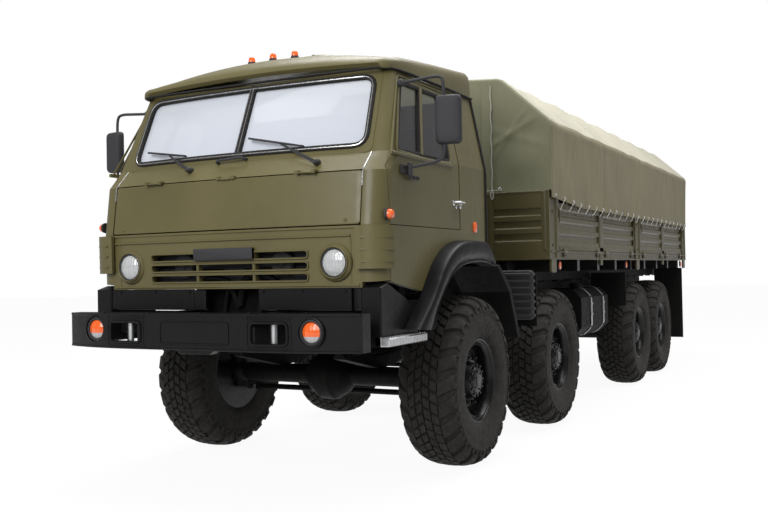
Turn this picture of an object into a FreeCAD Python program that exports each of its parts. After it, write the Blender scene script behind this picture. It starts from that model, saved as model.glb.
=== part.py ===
"""Military cargo truck, 8x8, cab over engine, with a canvas tilt over the cargo bed.

Millimetres.  +Z up, the front faces -Y, +X is the truck's left side.  The origin is on the ground
under the middle of the truck.
"""
import FreeCAD, Part
import math
import os
import re

import Sketcher

doc = FreeCAD.newDocument("CargoTruck")
Vector = FreeCAD.Vector

# ------------------------------------------------------------------ driving dimensions
# alias, value in mm, meaning
DIMENSIONS = [
    ("axle_1_y", -3340, "first axle"),
    ("axle_gap_12", 1940, "first to second axle"),
    ("axle_gap_23", 3240, "second to third axle"),
    ("axle_gap_34", 1320, "third to fourth axle"),
    ("running_clearance", 5, "gap round panels that move"),
    ("seat_gap", 0.3, "between a piece and what it is bolted to"),
    ("hinge_pin", 6, "pin radius of the flap and tailgate hinges"),
    # wheels
    ("wheel_radius", 615, "tyre outside radius, to the lug tips"),
    ("tyre_width", 425, "tyre section width"),
    ("wheel_track", 2128, "between the tyre mid-planes"),
    ("lug_pitches", 20, "shoulder lugs on each side of a tyre"),
    ("lug_depth", 20, "from a lug's tip to the groove"),
    ("tread_shoulder", 150, "half width of the flat tread"),
    ("bead_radius", 290, "rim flange radius"),
    ("rim_half_width", 178, "half width of the rim"),
    ("rim_wall", 14, "rim thickness"),
    ("disc_inset", 40, "wheel disc, inboard of the rim's outer edge"),
    ("disc_radius", 215, "flat part of the wheel disc"),
    ("hub_radius", 128, "hub cap"),
    ("hub_length", 95, "hub cap, out of the disc"),
    ("stud_circle", 168, "wheel nut circle radius"),
    ("stud_radius", 15, "wheel nut"),
    ("stud_length", 32, "wheel nut and stud"),
    ("stud_count", 10, "wheel nuts"),
    # steering
    ("kingpin_x", 880, "steering axis from the middle"),
    ("knuckle_radius", 95, "steering ball"),
    ("knuckle_gap", 0.3, "between the ball and its housing"),
    ("track_rod_z", 470, "track rod height"),
    ("track_rod_back", 205, "track rod, behind the axle"),
    ("track_rod_inset", 34, "rod eye, inboard of the steering axis"),
    ("track_rod_radius", 22, "track rod"),
    # axle beams
    ("beam_radius", 75, "axle tube"),
    ("diff_radius", 190, "differential bulb"),
    ("diff_width", 260, "differential bulb, along the axle"),
    ("flange_gap", 0.3, "hub flange to the wheel disc"),
    # frame
    ("rail_half_gap", 390, "middle to the rail web"),
    ("rail_flange", 85, "rail flange width"),
    ("rail_web", 10, "rail thickness"),
    ("rail_low", 930, "underside of the rails"),
    ("rail_height", 240, "rail section height"),
    ("rail_front", 1440, "rail end ahead of the first axle"),
    ("rail_rear", 1560, "rail end behind the fourth axle"),
    ("cross_radius", 60, "cross tube radius"),
    ("spring_width", 90, "leaf spring width"),
    ("spring_half", 620, "half length of a leaf spring"),
    ("spring_sag", 110, "arch of a leaf spring"),
    ("spring_stack", 90, "thickness of a leaf stack"),
    ("spring_x", 433, "leaf spring from the middle"),
    ("shaft_radius", 55, "propeller shaft"),
    ("engine_width", 720, "engine"),
    ("engine_length", 1150, "engine"),
    ("radiator_half", 410, "radiator behind the grille, to its side"),
    ("radiator_y", 1080, "radiator's face ahead of the first axle"),
    ("radiator_low", 1175, "radiator's foot"),
    ("radiator_top", 1640, "radiator's head"),
    ("engine_low", 1010, "underside of the engine"),
    ("engine_top", 1430, "top of the engine"),
    # bumper
    ("bumper_reach", 1672, "bumper face ahead of the first axle"),
    ("bumper_half", 1150, "half width of the bumper"),
    ("bumper_sweep", 109, "bumper ends swept back"),
    ("bumper_low", 941, "underside of the bumper"),
    ("bumper_top", 1169, "top of the bumper"),
    ("bumper_depth", 95, "bumper beam depth"),
    ("bumper_wall", 12, "bumper plate"),
    ("tow_open_x", 565, "middle of a tow opening"),
    ("tow_open_half", 125, "half width of a tow opening"),
    ("tow_open_low", 990, "underside of a tow opening"),
    ("tow_open_top", 1112, "top of a tow opening"),
    ("tow_pin_radius", 16, "tow pin"),
    ("fog_x", 846, "fog lamp"),
    ("fog_z", 1062, "fog lamp height"),
    ("fog_radius", 78, "fog lamp hole"),
    # cab
    ("cab_wall", 40, "cab wall and door thickness"),
    ("back_return", 12, "side strip folded from the back wall"),
    ("cab_half", 1150, "half width of the cab"),
    ("cab_top_half", 1035, "half width at the drip rail"),
    ("cab_front", 1307, "front panel ahead of the first axle"),
    ("cab_rear", 420, "back wall behind the first axle"),
    ("cab_low", 1318, "lower edge of the front panel"),
    ("waist_low", 1705, "seam under the front flap and the doors"),
    ("waist_top", 2043, "seam over the front flap"),
    ("sill_z", 2160, "window sill"),
    ("drip_z", 2725, "drip rail"),
    ("corner_x", 150, "front corner, across"),
    ("corner_y", 110, "front corner, along"),
    ("glass_inset", 14, "glass, behind the skin"),
    ("glass_thickness", 6, "glass"),
    ("door_front", 1190, "door front seam ahead of the first axle"),
    ("door_rear_gap", 14, "gap behind the door, for its swing"),
    ("door_rear", 100, "door rear seam ahead of the first axle"),
    ("door_sill_lean", 100, "door front seam, leaned back at the sill"),
    ("door_lean", 352, "door front seam, leaned back at the top"),
    ("panel_half", 1003, "half width of the front flap"),
    ("floor_z", 1490, "top of the cab floor"),
    ("floor_thickness", 30, "cab floor"),
    ("tunnel_half", 470, "half width of the engine tunnel"),
    ("tunnel_z", 1700, "top of the engine tunnel"),
    ("dash_gap", 25, "dashboard to the front wall"),
    ("screen_low", 2212, "windscreen opening, lower edge"),
    ("screen_top", 2693, "windscreen opening, upper edge"),
    ("screen_half_low", 955, "windscreen opening, half width below"),
    ("screen_half_top", 935, "windscreen opening, half width above"),
    ("screen_post", 36, "windscreen centre post"),
    ("grille_half", 636, "half width of the grille openings"),
    ("grille_low", 1362, "underside of the grille openings"),
    ("grille_pitch", 72, "between grille rows"),
    ("grille_slot", 50, "height of a grille opening"),
    ("grille_post_x", 229, "grille divider"),
    ("grille_post", 22, "grille divider width"),
    ("grille_rows", 3, "rows of grille openings"),
    ("head_x", 828, "headlight"),
    ("head_z", 1474, "headlight height"),
    ("head_radius", 90, "headlight"),
    ("roof_wall", 25, "roof moulding"),
    ("roof_overhang", 30, "roof rim past the cab wall"),
    ("hatch_half", 280, "half width of the roof hatch"),
    ("hatch_front", 470, "roof hatch ahead of the first axle"),
    ("hatch_length", 560, "roof hatch"),
    ("hatch_thickness", 32, "roof hatch lid"),
    ("marker_y", 740, "roof lamps ahead of the first axle"),
    ("marker_pitch", 185, "between the roof lamps"),
    ("marker_radius", 28, "roof lamp"),
    ("arch_out", 1270, "outer edge of the wheel arch"),
    ("step_out", 1205, "outer face of the step"),
    ("step_low", 955, "underside of the step box"),
    ("mirror_tube", 12, "mirror arm radius"),
    ("mirror_x", 1408, "middle of a mirror head"),
    ("mirror_z", 2372, "mirror head height"),
    ("mirror_width", 170, "mirror head"),
    ("mirror_height", 316, "mirror head"),
    ("mirror_depth", 62, "mirror head"),
    ("mirror_turn", 10, "mirror head turned in, degrees"),
    ("tilt_y", 1420, "cab tilt pivot ahead of the first axle"),
    ("tilt_z", 1120, "cab tilt pivot height"),
    ("tilt_arm", 45, "cab tilt arm thickness"),
    ("tilt_arm_x", 205, "inner side of a cab tilt arm"),
    ("tilt_pin", 24, "cab tilt pin radius"),
    # cargo bed
    ("bed_front", 1645, "front wall behind the first axle"),
    ("bed_rear", 8335, "tailgate behind the first axle"),
    ("bed_half", 1245, "half width of the bed"),
    ("bed_floor", 1568, "top of the bed floor"),
    ("plank_height", 12, "floor planks above the bed's rim"),
    ("plank_gap", 26, "from a wall's inside to the planks"),
    ("bed_sill", 76, "side rail height"),
    ("board_top", 2007, "top of the side boards"),
    ("board_thickness", 42, "side board with its ribs"),
    ("post_width", 110, "stake post"),
    ("post_top", 2110, "top of the stake posts"),
    ("mid_post_y", 5135, "middle posts behind the first axle"),
    ("front_wall_top", 2100, "top of the bed's front wall"),
    ("rib_pitch", 112, "between the pressed grooves of a board"),
    ("rib_width", 78, "a pressed groove"),
    ("rib_depth", 14, "pressed rib"),
    # tilt
    ("hem_z", 2100, "lower edge of the canvas"),
    ("shoulder_z", 2715, "canvas shoulder"),
    ("shoulder_half", 1290, "half width at the shoulder"),
    ("ridge_z", 3150, "edge of the flat canvas top"),
    ("ridge_half", 826, "half width of the flat top"),
    ("crown_z", 3192, "middle of the canvas top"),
    ("canvas_wall", 20, "canvas with its bows"),
    ("canvas_front", 1660, "canvas front behind the first axle"),
    ("canvas_rear", 8350, "canvas rear behind the first axle"),
    # gear under the bed
    ("tank_front", 3030, "fuel tank behind the first axle"),
    ("tank_length", 1070, "fuel tank"),
    ("tank_in", 640, "inner side of the tank"),
    ("tank_out", 1140, "outer side of the tank"),
    ("tank_low", 709, "underside of the tank"),
    ("tank_top", 1195, "top of the tank"),
    ("guard_thickness", 12, "mudguard plate"),
    ("spare_y", 1010, "spare wheel behind the first axle"),
    ("spare_z", 1870, "spare wheel height"),
    ("jaw_bore", 22, "rear tow jaw pin bore radius"),
    ("jaw_z", 1010, "rear tow jaw height"),
    ("jaw_gap", 90, "between the tow jaw's ears"),
    ("jaw_ear", 35, "tow jaw ear"),
]

sheet = doc.addObject("Spreadsheet::Sheet", "Dims")
for row, (alias, value, meaning) in enumerate(DIMENSIONS, start=1):
    sheet.set(f"A{row}", meaning)
    sheet.set(f"B{row}", str(value))
    sheet.setAlias(f"B{row}", alias)
doc.recompute()


def size(alias):
    """The value of one driving dimension."""
    return float(getattr(sheet, alias))


# Values worked out from the driving dimensions.
AXLES = [0.0, 0.0, 0.0, 0.0]
AXLES[0] = size("axle_1_y")
AXLES[1] = AXLES[0] + size("axle_gap_12")
AXLES[2] = AXLES[1] + size("axle_gap_23")
AXLES[3] = AXLES[2] + size("axle_gap_34")
AXLE_TERMS = ["axle_1_y", "axle_1_y + axle_gap_12", "axle_1_y + axle_gap_12 + axle_gap_23",
              "axle_1_y + axle_gap_12 + axle_gap_23 + axle_gap_34"]
NODES = []


# ------------------------------------------------------------------ building helpers
def term(text):
    """An expression over sheet aliases, written for setExpression."""
    return re.sub(r"[a-z]\w*", lambda word: "Dims." + word.group(0), str(text))


def block(name, xs, ys, zs):
    """A box between three pairs of terms."""
    box = doc.addObject("Part::Box", name)
    for side, (low, high), place in zip(("Length", "Width", "Height"), (xs, ys, zs), "xyz"):
        box.setExpression(side, term(f"({high}) - ({low})"))
        box.setExpression(f"Placement.Base.{place}", term(low))
    return box


TURNS = {"x": ((0, 1, 0), 90), "y": ((1, 0, 0), -90), "z": ((0, 0, 1), 0)}


def rod(name, axis, centre, radius, low, high):
    """A cylinder along one axis, from low to high on that axis."""
    bar = doc.addObject("Part::Cylinder", name)
    bar.setExpression("Radius", term(radius))
    bar.setExpression("Height", term(f"({high}) - ({low})"))
    direction, angle = TURNS[axis]
    bar.Placement = FreeCAD.Placement(Vector(), FreeCAD.Rotation(Vector(*direction), angle))
    for place, value in zip("xyz", centre):
        bar.setExpression(f"Placement.Base.{place}", term(low if place == axis else value))
    return bar


PLANES = {"XY": "XY_Plane", "XZ": "XZ_Plane", "YZ": "YZ_Plane"}


def prism(name, plane, outline, low, high):
    """A padded sketch: a closed outline of terms on an origin plane, from low to high along it."""
    body = doc.addObject("PartDesign::Body", name)
    sketch = body.newObject("Sketcher::SketchObject", name + "Sketch")
    plane_object = next(f for f in body.Origin.OriginFeatures if f.Role == PLANES[plane])
    sketch.AttachmentSupport = (plane_object, "")
    sketch.MapMode = "FlatFace"
    offset = f"-({high})" if plane == "XZ" else low
    sketch.setExpression("AttachmentOffset.Base.z", term(offset))
    corners = [Vector(evaluate(u), evaluate(v), 0) for u, v in outline]
    for start, end in zip(corners, corners[1:] + corners[:1]):
        sketch.addGeometry(Part.LineSegment(start, end), False)
    count = len(outline)
    for index in range(count):
        sketch.addConstraint(Sketcher.Constraint("Coincident", index, 2, (index + 1) % count, 1))
    for index, (u, v) in enumerate(outline):
        for kind, value in (("DistanceX", u), ("DistanceY", v)):
            number = sketch.addConstraint(
                Sketcher.Constraint(kind, -1, 1, index, 1, evaluate(value)))
            sketch.setExpression(f"Constraints[{number}]", term(value))
    pad = body.newObject("PartDesign::Pad", name + "Pad")
    pad.Profile = sketch
    pad.setExpression("Length", term(f"({high}) - ({low})"))
    return body


def evaluate(text):
    """The number that a term stands for now."""
    words = re.findall(r"[a-z]\w*", str(text))
    return float(FreeCAD.Units.Quantity(substitute(str(text), words)))


def substitute(text, words):
    """A term with each alias replaced by its value."""
    for word in sorted(set(words), key=len, reverse=True):
        text = re.sub(rf"\b{word}\b", f"({size(word):.6f})", text)
    return text


def feature(name, shape):
    """A shape made with Part's own functions."""
    item = doc.addObject("Part::Feature", name)
    item.Shape = shape
    return item


def fuse(name, items):
    """One solid, or several that touch, joined."""
    whole = doc.addObject("Part::MultiFuse", name)
    whole.Shapes = items
    return whole


def group(name, items):
    """Like pieces that do not touch, kept together."""
    whole = doc.addObject("Part::Compound", name)
    whole.Links = items
    return whole


def cut(name, base, tools):
    """A base with tools taken away."""
    tool = tools[0] if len(tools) == 1 else fuse(name + "Tools", tools)
    whole = doc.addObject("Part::Cut", name)
    whole.Base = base
    whole.Tool = tool
    return whole


def common(name, base, tool):
    """What two shapes share."""
    whole = doc.addObject("Part::Common", name)
    whole.Base = base
    whole.Tool = tool
    return whole


def mirrored(name, item):
    """The same piece on the other side of the truck."""
    twin = doc.addObject("Part::Mirroring", name)
    twin.Source = item
    twin.Normal = Vector(1, 0, 0)
    return twin


def node(name, item):
    """Marks an object as a finished sub-part."""
    item.Label = name
    NODES.append((name, item))
    return item


def outline_wire(points, place):
    """A closed wire: a point alone is a line's end, a pair is an arc's middle and end."""
    edges = []
    start = place(points[0])
    for step in points[1:] + points[:1]:
        if isinstance(step[0], tuple):
            middle, end = place(step[0]), place(step[1])
            edges.append(Part.Arc(start, middle, end).toShape())
        else:
            end = place(step)
            edges.append(Part.LineSegment(start, end).toShape())
        start = end
    return Part.Wire(edges)


def facets_between(low, high):
    """Flat triangles between two rings of points."""
    after = list(range(1, len(low))) + [0]
    corners = [three for i, j in enumerate(after)
               for three in ((low[i], low[j], high[j]), (low[i], high[j], high[i]))]
    return [Part.Face(Part.makePolygon([*three, three[0]])) for three in corners]


def facet_loft(rings):
    """A solid with flat facets through rings of points, with both ends closed."""
    faces = [face for pair in zip(rings, rings[1:]) for face in facets_between(*pair)]
    faces += [Part.Face(Part.makePolygon(ring + ring[:1])) for ring in (rings[0], rings[-1])]
    return sewn(faces)


def facet_ring(rings):
    """A solid with flat facets through rings of points, the last joined to the first."""
    return sewn([face for pair in zip(rings, rings[1:] + rings[:1]) for face in facets_between(*pair)])


def sewn(faces):
    """One solid from faces that meet edge to edge."""
    shell = Part.makeShell(faces)
    shell.sewShape()
    solid = Part.Solid(shell)
    if solid.Volume < 0:
        solid.reverse()
    return solid


def side_slab(points, x_low, x_high):
    """A plate with an outline of lines and arcs in the YZ plane, between two x values."""
    wire = outline_wire(points, lambda p: Vector(x_low, AXLES[0] + p[0], p[1]))
    return Part.Face(wire).extrude(Vector(x_high - x_low, 0, 0))


# ------------------------------------------------------------------ wheels
def turned(profile, x, y, z):
    """A ring turned about the wheel's axis from a closed (offset, radius) profile."""
    wire = Part.makePolygon([Vector(x + u, y, z + v) for u, v in profile + profile[:1]])
    return Part.Face(wire).revolve(Vector(x, y, z), Vector(1, 0, 0), 360)


def tyre_shape(x, y, z):
    """A cross-country tyre whose shoulder lugs stand left and right in turn, as a faceted ring."""
    half = size("tyre_width") / 2
    shoulder = size("tread_shoulder")
    rim = size("rim_half_width")
    steps = 2 * int(size("lug_pitches"))
    facet = math.cos(math.pi / steps)
    bead = (size("bead_radius") + size("seat_gap")) / facet
    tip = size("wheel_radius")
    side = tip - bead
    rings = []
    for step in range(steps):
        # each side stands at the lugs' tips or lies at the groove's floor
        left, right = (tip - size("lug_depth") * part for part in ((0, 1), (1, 0))[step % 2])
        profile = [(-rim, bead), (-half, bead + 0.45 * side), (-half + 6, bead + 0.7 * side),
                   (-shoulder, left), (shoulder, right), (half - 6, bead + 0.7 * side),
                   (half, bead + 0.45 * side), (rim, bead)]
        angle = 2 * math.pi * step / steps
        rings.append([Vector(x + u, y + v * math.sin(angle), z - v * math.cos(angle))
                      for u, v in profile])
    return facet_ring(rings)


def rim_shape(x, y, z, side):
    """A rim with a well, its disc set in from the outer edge, and a hub with its nuts."""
    bead = size("bead_radius")
    half = size("rim_half_width")
    wall = size("rim_wall")
    face = half - size("disc_inset")
    disc = size("disc_radius")
    hub = size("hub_radius")
    nose = face - wall + size("hub_length")
    barrel = [(-half, bead), (half, bead), (half, bead - wall), (half - 30, bead - wall),
              (60, bead - 2.2 * wall), (face - 70, bead - 2.2 * wall - 8), (-half, bead - 2.2 * wall)]
    plate = [(face - 75, bead - 1.4 * wall), (face - 40, bead - 1.4 * wall), (face, disc),
             (face, hub + 8), (nose - 26, hub), (nose, hub - 34), (nose, 0), (face - wall - 10, 0),
             (face - wall - 10, disc - 6)]
    barrel = turned([(side * u, v) for u, v in barrel], x, y, z)
    plate = turned([(side * u, v) for u, v in plate], x, y, z)
    shape = barrel.fuse(plate)
    for index in range(int(size("stud_count"))):
        angle = 2 * math.pi * index / size("stud_count")
        low = x + side * (face - wall)
        base = Vector(low, y + size("stud_circle") * math.cos(angle),
                      z + size("stud_circle") * math.sin(angle))
        nut = [base + Vector(0, size("stud_radius") * math.cos(corner * math.pi / 3),
                             size("stud_radius") * math.sin(corner * math.pi / 3)) for corner in range(7)]
        length = wall + size("stud_length")
        shape = shape.fuse(Part.Face(Part.makePolygon(nut)).extrude(Vector(side * length, 0, 0)))
    return shape.removeSplitter()


def build_wheels():
    """Eight tyres and eight rims, each pair on its own hub."""
    for number, y in enumerate(AXLES, start=1):
        for label, side in (("left", 1), ("right", -1)):
            x = side * size("wheel_track") / 2
            z = size("wheel_radius")
            tyre = tyre_shape(x, y, z)
            node(f"tyre_{number}_{label}", feature(f"Tyre{number}{label}", tyre))
            rim = rim_shape(x, y, z, side)
            node(f"rim_{number}_{label}", feature(f"Rim{number}{label}", rim))


def build_axles():
    """Axle tubes with their differential bulbs; the first two end at the steering balls."""
    disc_x = "(wheel_track / 2 + rim_half_width - disc_inset - rim_wall - 10 - flange_gap)"
    beams = []
    for number, y in enumerate(AXLE_TERMS, start=1):
        steered = number <= 2
        end = "(kingpin_x - knuckle_radius - knuckle_gap)" if steered else disc_x
        tube = rod(f"AxleTube{number}", "x", (0, y, "wheel_radius"), "beam_radius", f"-{end}", end)
        ball = size("diff_radius")
        bulb = feature(f"Differential{number}", turned(
            [(-1.15 * ball, 0), (-1.15 * ball, 0.3 * ball), (-0.75 * ball, 0.72 * ball), (-0.3 * ball, ball),
             (0.3 * ball, ball), (0.75 * ball, 0.72 * ball), (1.15 * ball, 0.3 * ball), (1.15 * ball, 0)],
            0, AXLES[number - 1], size("wheel_radius")))
        nose = rod(f"Pinion{number}", "y", (0, y, "wheel_radius + 40"), "beam_radius + 10",
                   f"({y}) - diff_radius - 70" if number > 1 else y,
                   y if number > 1 else f"({y}) + diff_radius + 70")
        parts = [tube, bulb, nose]
        if number in (2, 3):
            parts.append(rod(f"Output{number}", "y", (0, y, "wheel_radius + 40"), "shaft_radius + 8",
                             y, f"({y}) + diff_radius + 12"))
        if not steered:
            parts += [rod(f"HubFlange{number}{side}", "x", (0, y, "wheel_radius"),
                          "stud_circle - stud_radius - 4",
                          f"{disc_x} - 60" if side > 0 else f"-{disc_x}",
                          disc_x if side > 0 else f"-{disc_x} + 60") for side in (1, -1)]
        beams.append(fuse(f"AxleBeam{number}", parts))
    node("axle_beams", group("AxleBeams", beams))


def build_steering():
    """Steering knuckles on axles one and two, and the track rod that joins each pair."""
    disc_x = "(wheel_track / 2 + rim_half_width - disc_inset - rim_wall - 10 - flange_gap)"
    for number, y in enumerate(AXLE_TERMS[:2], start=1):
        for label, side in (("left", 1), ("right", -1)):
            name = f"Knuckle{number}{label}"
            ball = doc.addObject("Part::Sphere", name + "Ball")
            ball.setExpression("Radius", term("knuckle_radius"))
            ball.setExpression("Placement.Base.x", term(f"{side} * kingpin_x"))
            ball.setExpression("Placement.Base.y", term(y))
            ball.setExpression("Placement.Base.z", term("wheel_radius"))
            ends = ("kingpin_x", disc_x) if side > 0 else (f"-{disc_x}", "-kingpin_x")
            spindle = rod(name + "Spindle", "x", (0, y, "wheel_radius"), "beam_radius", *ends)
            arm = prism(name + "Arm", "XY", [
                (f"{side} * (kingpin_x + 30)", y), (f"{side} * (kingpin_x - 40)", y),
                (f"{side} * (kingpin_x - track_rod_inset - 30)", f"({y}) + track_rod_back + 25"),
                (f"{side} * (kingpin_x - track_rod_inset + 10)", f"({y}) + track_rod_back + 25")],
                "track_rod_z + track_rod_radius + seat_gap", "track_rod_z + track_rod_radius + 30")
            web = rod(name + "Web", "z", (f"{side} * kingpin_x", y, 0), "knuckle_radius - 35",
                      "track_rod_z + track_rod_radius + seat_gap", "wheel_radius + knuckle_radius + 30")
            node(f"knuckle_{number}_{label}", fuse(name, [ball, spindle, arm, web]))
        bar = rod(f"TrackRod{number}", "x", (0, f"({y}) + track_rod_back", "track_rod_z"),
                  "track_rod_radius", "-(kingpin_x - track_rod_inset)", "kingpin_x - track_rod_inset")
        eyes = [rod(f"TrackEye{number}{side}", "z", (
            f"{side} * (kingpin_x - track_rod_inset)", f"({y}) + track_rod_back", 0), "track_rod_radius + 2",
            "track_rod_z - track_rod_radius - 4", "track_rod_z + track_rod_radius") for side in (1, -1)]
        node(f"track_rod_{number}", fuse(f"TrackRodWithEyes{number}", [bar] + eyes))


# ------------------------------------------------------------------ frame and running gear
def build_frame():
    """Two channel rails, cross tubes, springs, shafts and the engine."""
    front = "axle_1_y - rail_front"
    rear = f"{AXLE_TERMS[3]} + rail_rear"
    rails = []
    for label, side in (("Left", 1), ("Right", -1)):
        web = f"{side} * (rail_half_gap + rail_flange)"
        inner = f"{side} * (rail_half_gap + rail_flange - rail_web)"
        lip = f"{side} * rail_half_gap"
        top = "rail_low + rail_height"
        rails.append(prism(f"Rail{label}", "XZ", [
            (web, "rail_low"), (web, top), (lip, top), (lip, f"{top} - rail_web"),
            (inner, f"{top} - rail_web"), (inner, "rail_low + rail_web"),
            (lip, "rail_low + rail_web"), (lip, "rail_low")], front, rear))
    railed = []
    for label, side, rail in (("Left", 1, rails[0]), ("Right", -1, rails[1])):
        ends = (f"{side} * (tilt_arm_x + tilt_arm + seat_gap)", f"{side} * (rail_half_gap + rail_flange - 4)")
        pin = rod(f"TiltPin{label}", "x", (0, "axle_1_y - tilt_y", "tilt_z"), "tilt_pin",
                  *(ends if side > 0 else ends[::-1]))
        stand = (f"{side} * (rail_half_gap + 5)", f"{side} * (rail_half_gap + rail_flange - 5)")
        rest = block(f"CabRest{label}", stand if side > 0 else stand[::-1],
                     ("axle_1_y + cab_rear - 160", "axle_1_y + cab_rear - 60"),
                     ("rail_low + rail_height - 5", "floor_z - floor_thickness - seat_gap"))
        railed.append(fuse(f"RailWhole{label}", [rail, pin, rest]))
    node("frame_rails", group("FrameRails", railed))
    reach = "(rail_half_gap + rail_flange - rail_web)"
    # y of each cross tube, as a term
    stations = [f"{front} + 420", "axle_1_y + 620", f"{AXLE_TERMS[1]} - 640",
                f"{AXLE_TERMS[1]} + 640", f"{AXLE_TERMS[2]} - 1350", f"{AXLE_TERMS[2]} - 560",
                f"{AXLE_TERMS[2]} + axle_gap_34 / 2", f"{AXLE_TERMS[3]} + 560"]
    tubes = [rod(f"Cross{i}", "x", (0, y, "rail_low + rail_height / 2"), "cross_radius",
                 f"-{reach}", reach) for i, y in enumerate(stations, start=1)]
    beam = block("RearBeam", (f"-{reach}", reach), (f"{rear} - 90", rear),
                 ("rail_low + rail_web", "rail_low + rail_height - rail_web"))
    eye = "jaw_bore + 40"
    ears = []
    for label, low in (("Upper", "jaw_z + jaw_gap / 2"), ("Lower", "jaw_z - jaw_gap / 2 - jaw_ear")):
        plate = block(f"JawEar{label}", (f"-({eye})", eye), (f"{rear} - 20", f"{rear} + 170"),
                      (low, f"{low} + jaw_ear"))
        tip = rod(f"JawTip{label}", "z", (0, f"{rear} + 170", 0), eye, low, f"{low} + jaw_ear")
        ears += [plate, tip]
    bore = rod("JawBore", "z", (0, f"{rear} + 170", 0), "jaw_bore", "jaw_z - jaw_gap", "jaw_z + jaw_gap")
    jaw = cut("RearBeamWithJaw", fuse("RearBeamSolid", [beam] + ears), [bore])
    node("cross_members", group("CrossMembers", tubes + [jaw]))

    springs = []
    for number, y in enumerate(AXLE_TERMS, start=1):
        for side in (1, -1):
            low = f"{side} * spring_x - spring_width / 2"
            high = f"{side} * spring_x + spring_width / 2"
            under = "wheel_radius + beam_radius"
            half = "spring_half" if number <= 2 else "(axle_gap_34 / 2 - 20)"
            springs.append(prism(f"Spring{number}{side + 1}", "YZ", [
                (f"({y}) - {half}", f"{under} + spring_sag"), (f"({y}) - 110", under),
                (f"({y}) + 110", under), (f"({y}) + {half}", f"{under} + spring_sag"),
                (f"({y}) + {half}", f"{under} + spring_sag + 26"),
                (f"({y}) + 110", f"{under} + spring_stack"),
                (f"({y}) - 110", f"{under} + spring_stack"),
                (f"({y}) - {half}", f"{under} + spring_sag + 26")], low, high))
            springs[-1] = fuse(f"SpringSet{number}{side + 1}", [springs[-1]] + [
                block(f"Hanger{number}{side + 1}{i}", (f"{side} * spring_x - 30", f"{side} * spring_x + 30"),
                      (y_low, f"{y_low} + 60"), (f"{under} + spring_sag", "rail_low"))
                for i, y_low in enumerate((f"({y}) - {half}", f"({y}) + {half} - 60"))])
    node("leaf_springs", group("LeafSprings", springs))

    line = "wheel_radius + 40"
    nose = "(diff_radius + 70)"
    tail = "(diff_radius + 12)"
    first, second, third, fourth = AXLE_TERMS
    shafts = []
    for name, low, high in (("Shaft12", f"{first} + {nose}", f"{second} - {nose}"),
                            ("Shaft23", f"{second} + {tail}", f"{third} - {nose}"),
                            ("Shaft34", f"{third} + {tail}", f"{fourth} - {nose}")):
        shafts.append(rod(name, "y", (0, 0, line), "shaft_radius", low, high))
    node("propeller_shafts", group("PropellerShafts", shafts))
    engine = block("EngineMass", ("-engine_width / 2", "engine_width / 2"),
                   ("axle_1_y - 800", "axle_1_y - 800 + engine_length"), ("engine_low", "engine_top"))
    feet = [block(f"EngineMount{i}", (f"-{reach}", reach), (y, f"{y} + 90"),
                  ("engine_low + 30", "engine_low + 80"))
            for i, y in enumerate(("axle_1_y - 560", "axle_1_y + 180"))]
    cooler = block("Radiator", ("-radiator_half", "radiator_half"),
                   ("axle_1_y - radiator_y", "axle_1_y - radiator_y + 70"), ("radiator_low", "radiator_top"))
    shroud = block("FanShroud", ("-radiator_half + 90", "radiator_half - 90"),
                   ("axle_1_y - radiator_y + 70", "axle_1_y - 800"), ("radiator_low + 60", "engine_top - 30"))
    node("engine_block", fuse("EngineBlock", [engine, cooler, shroud] + feet))


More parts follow.
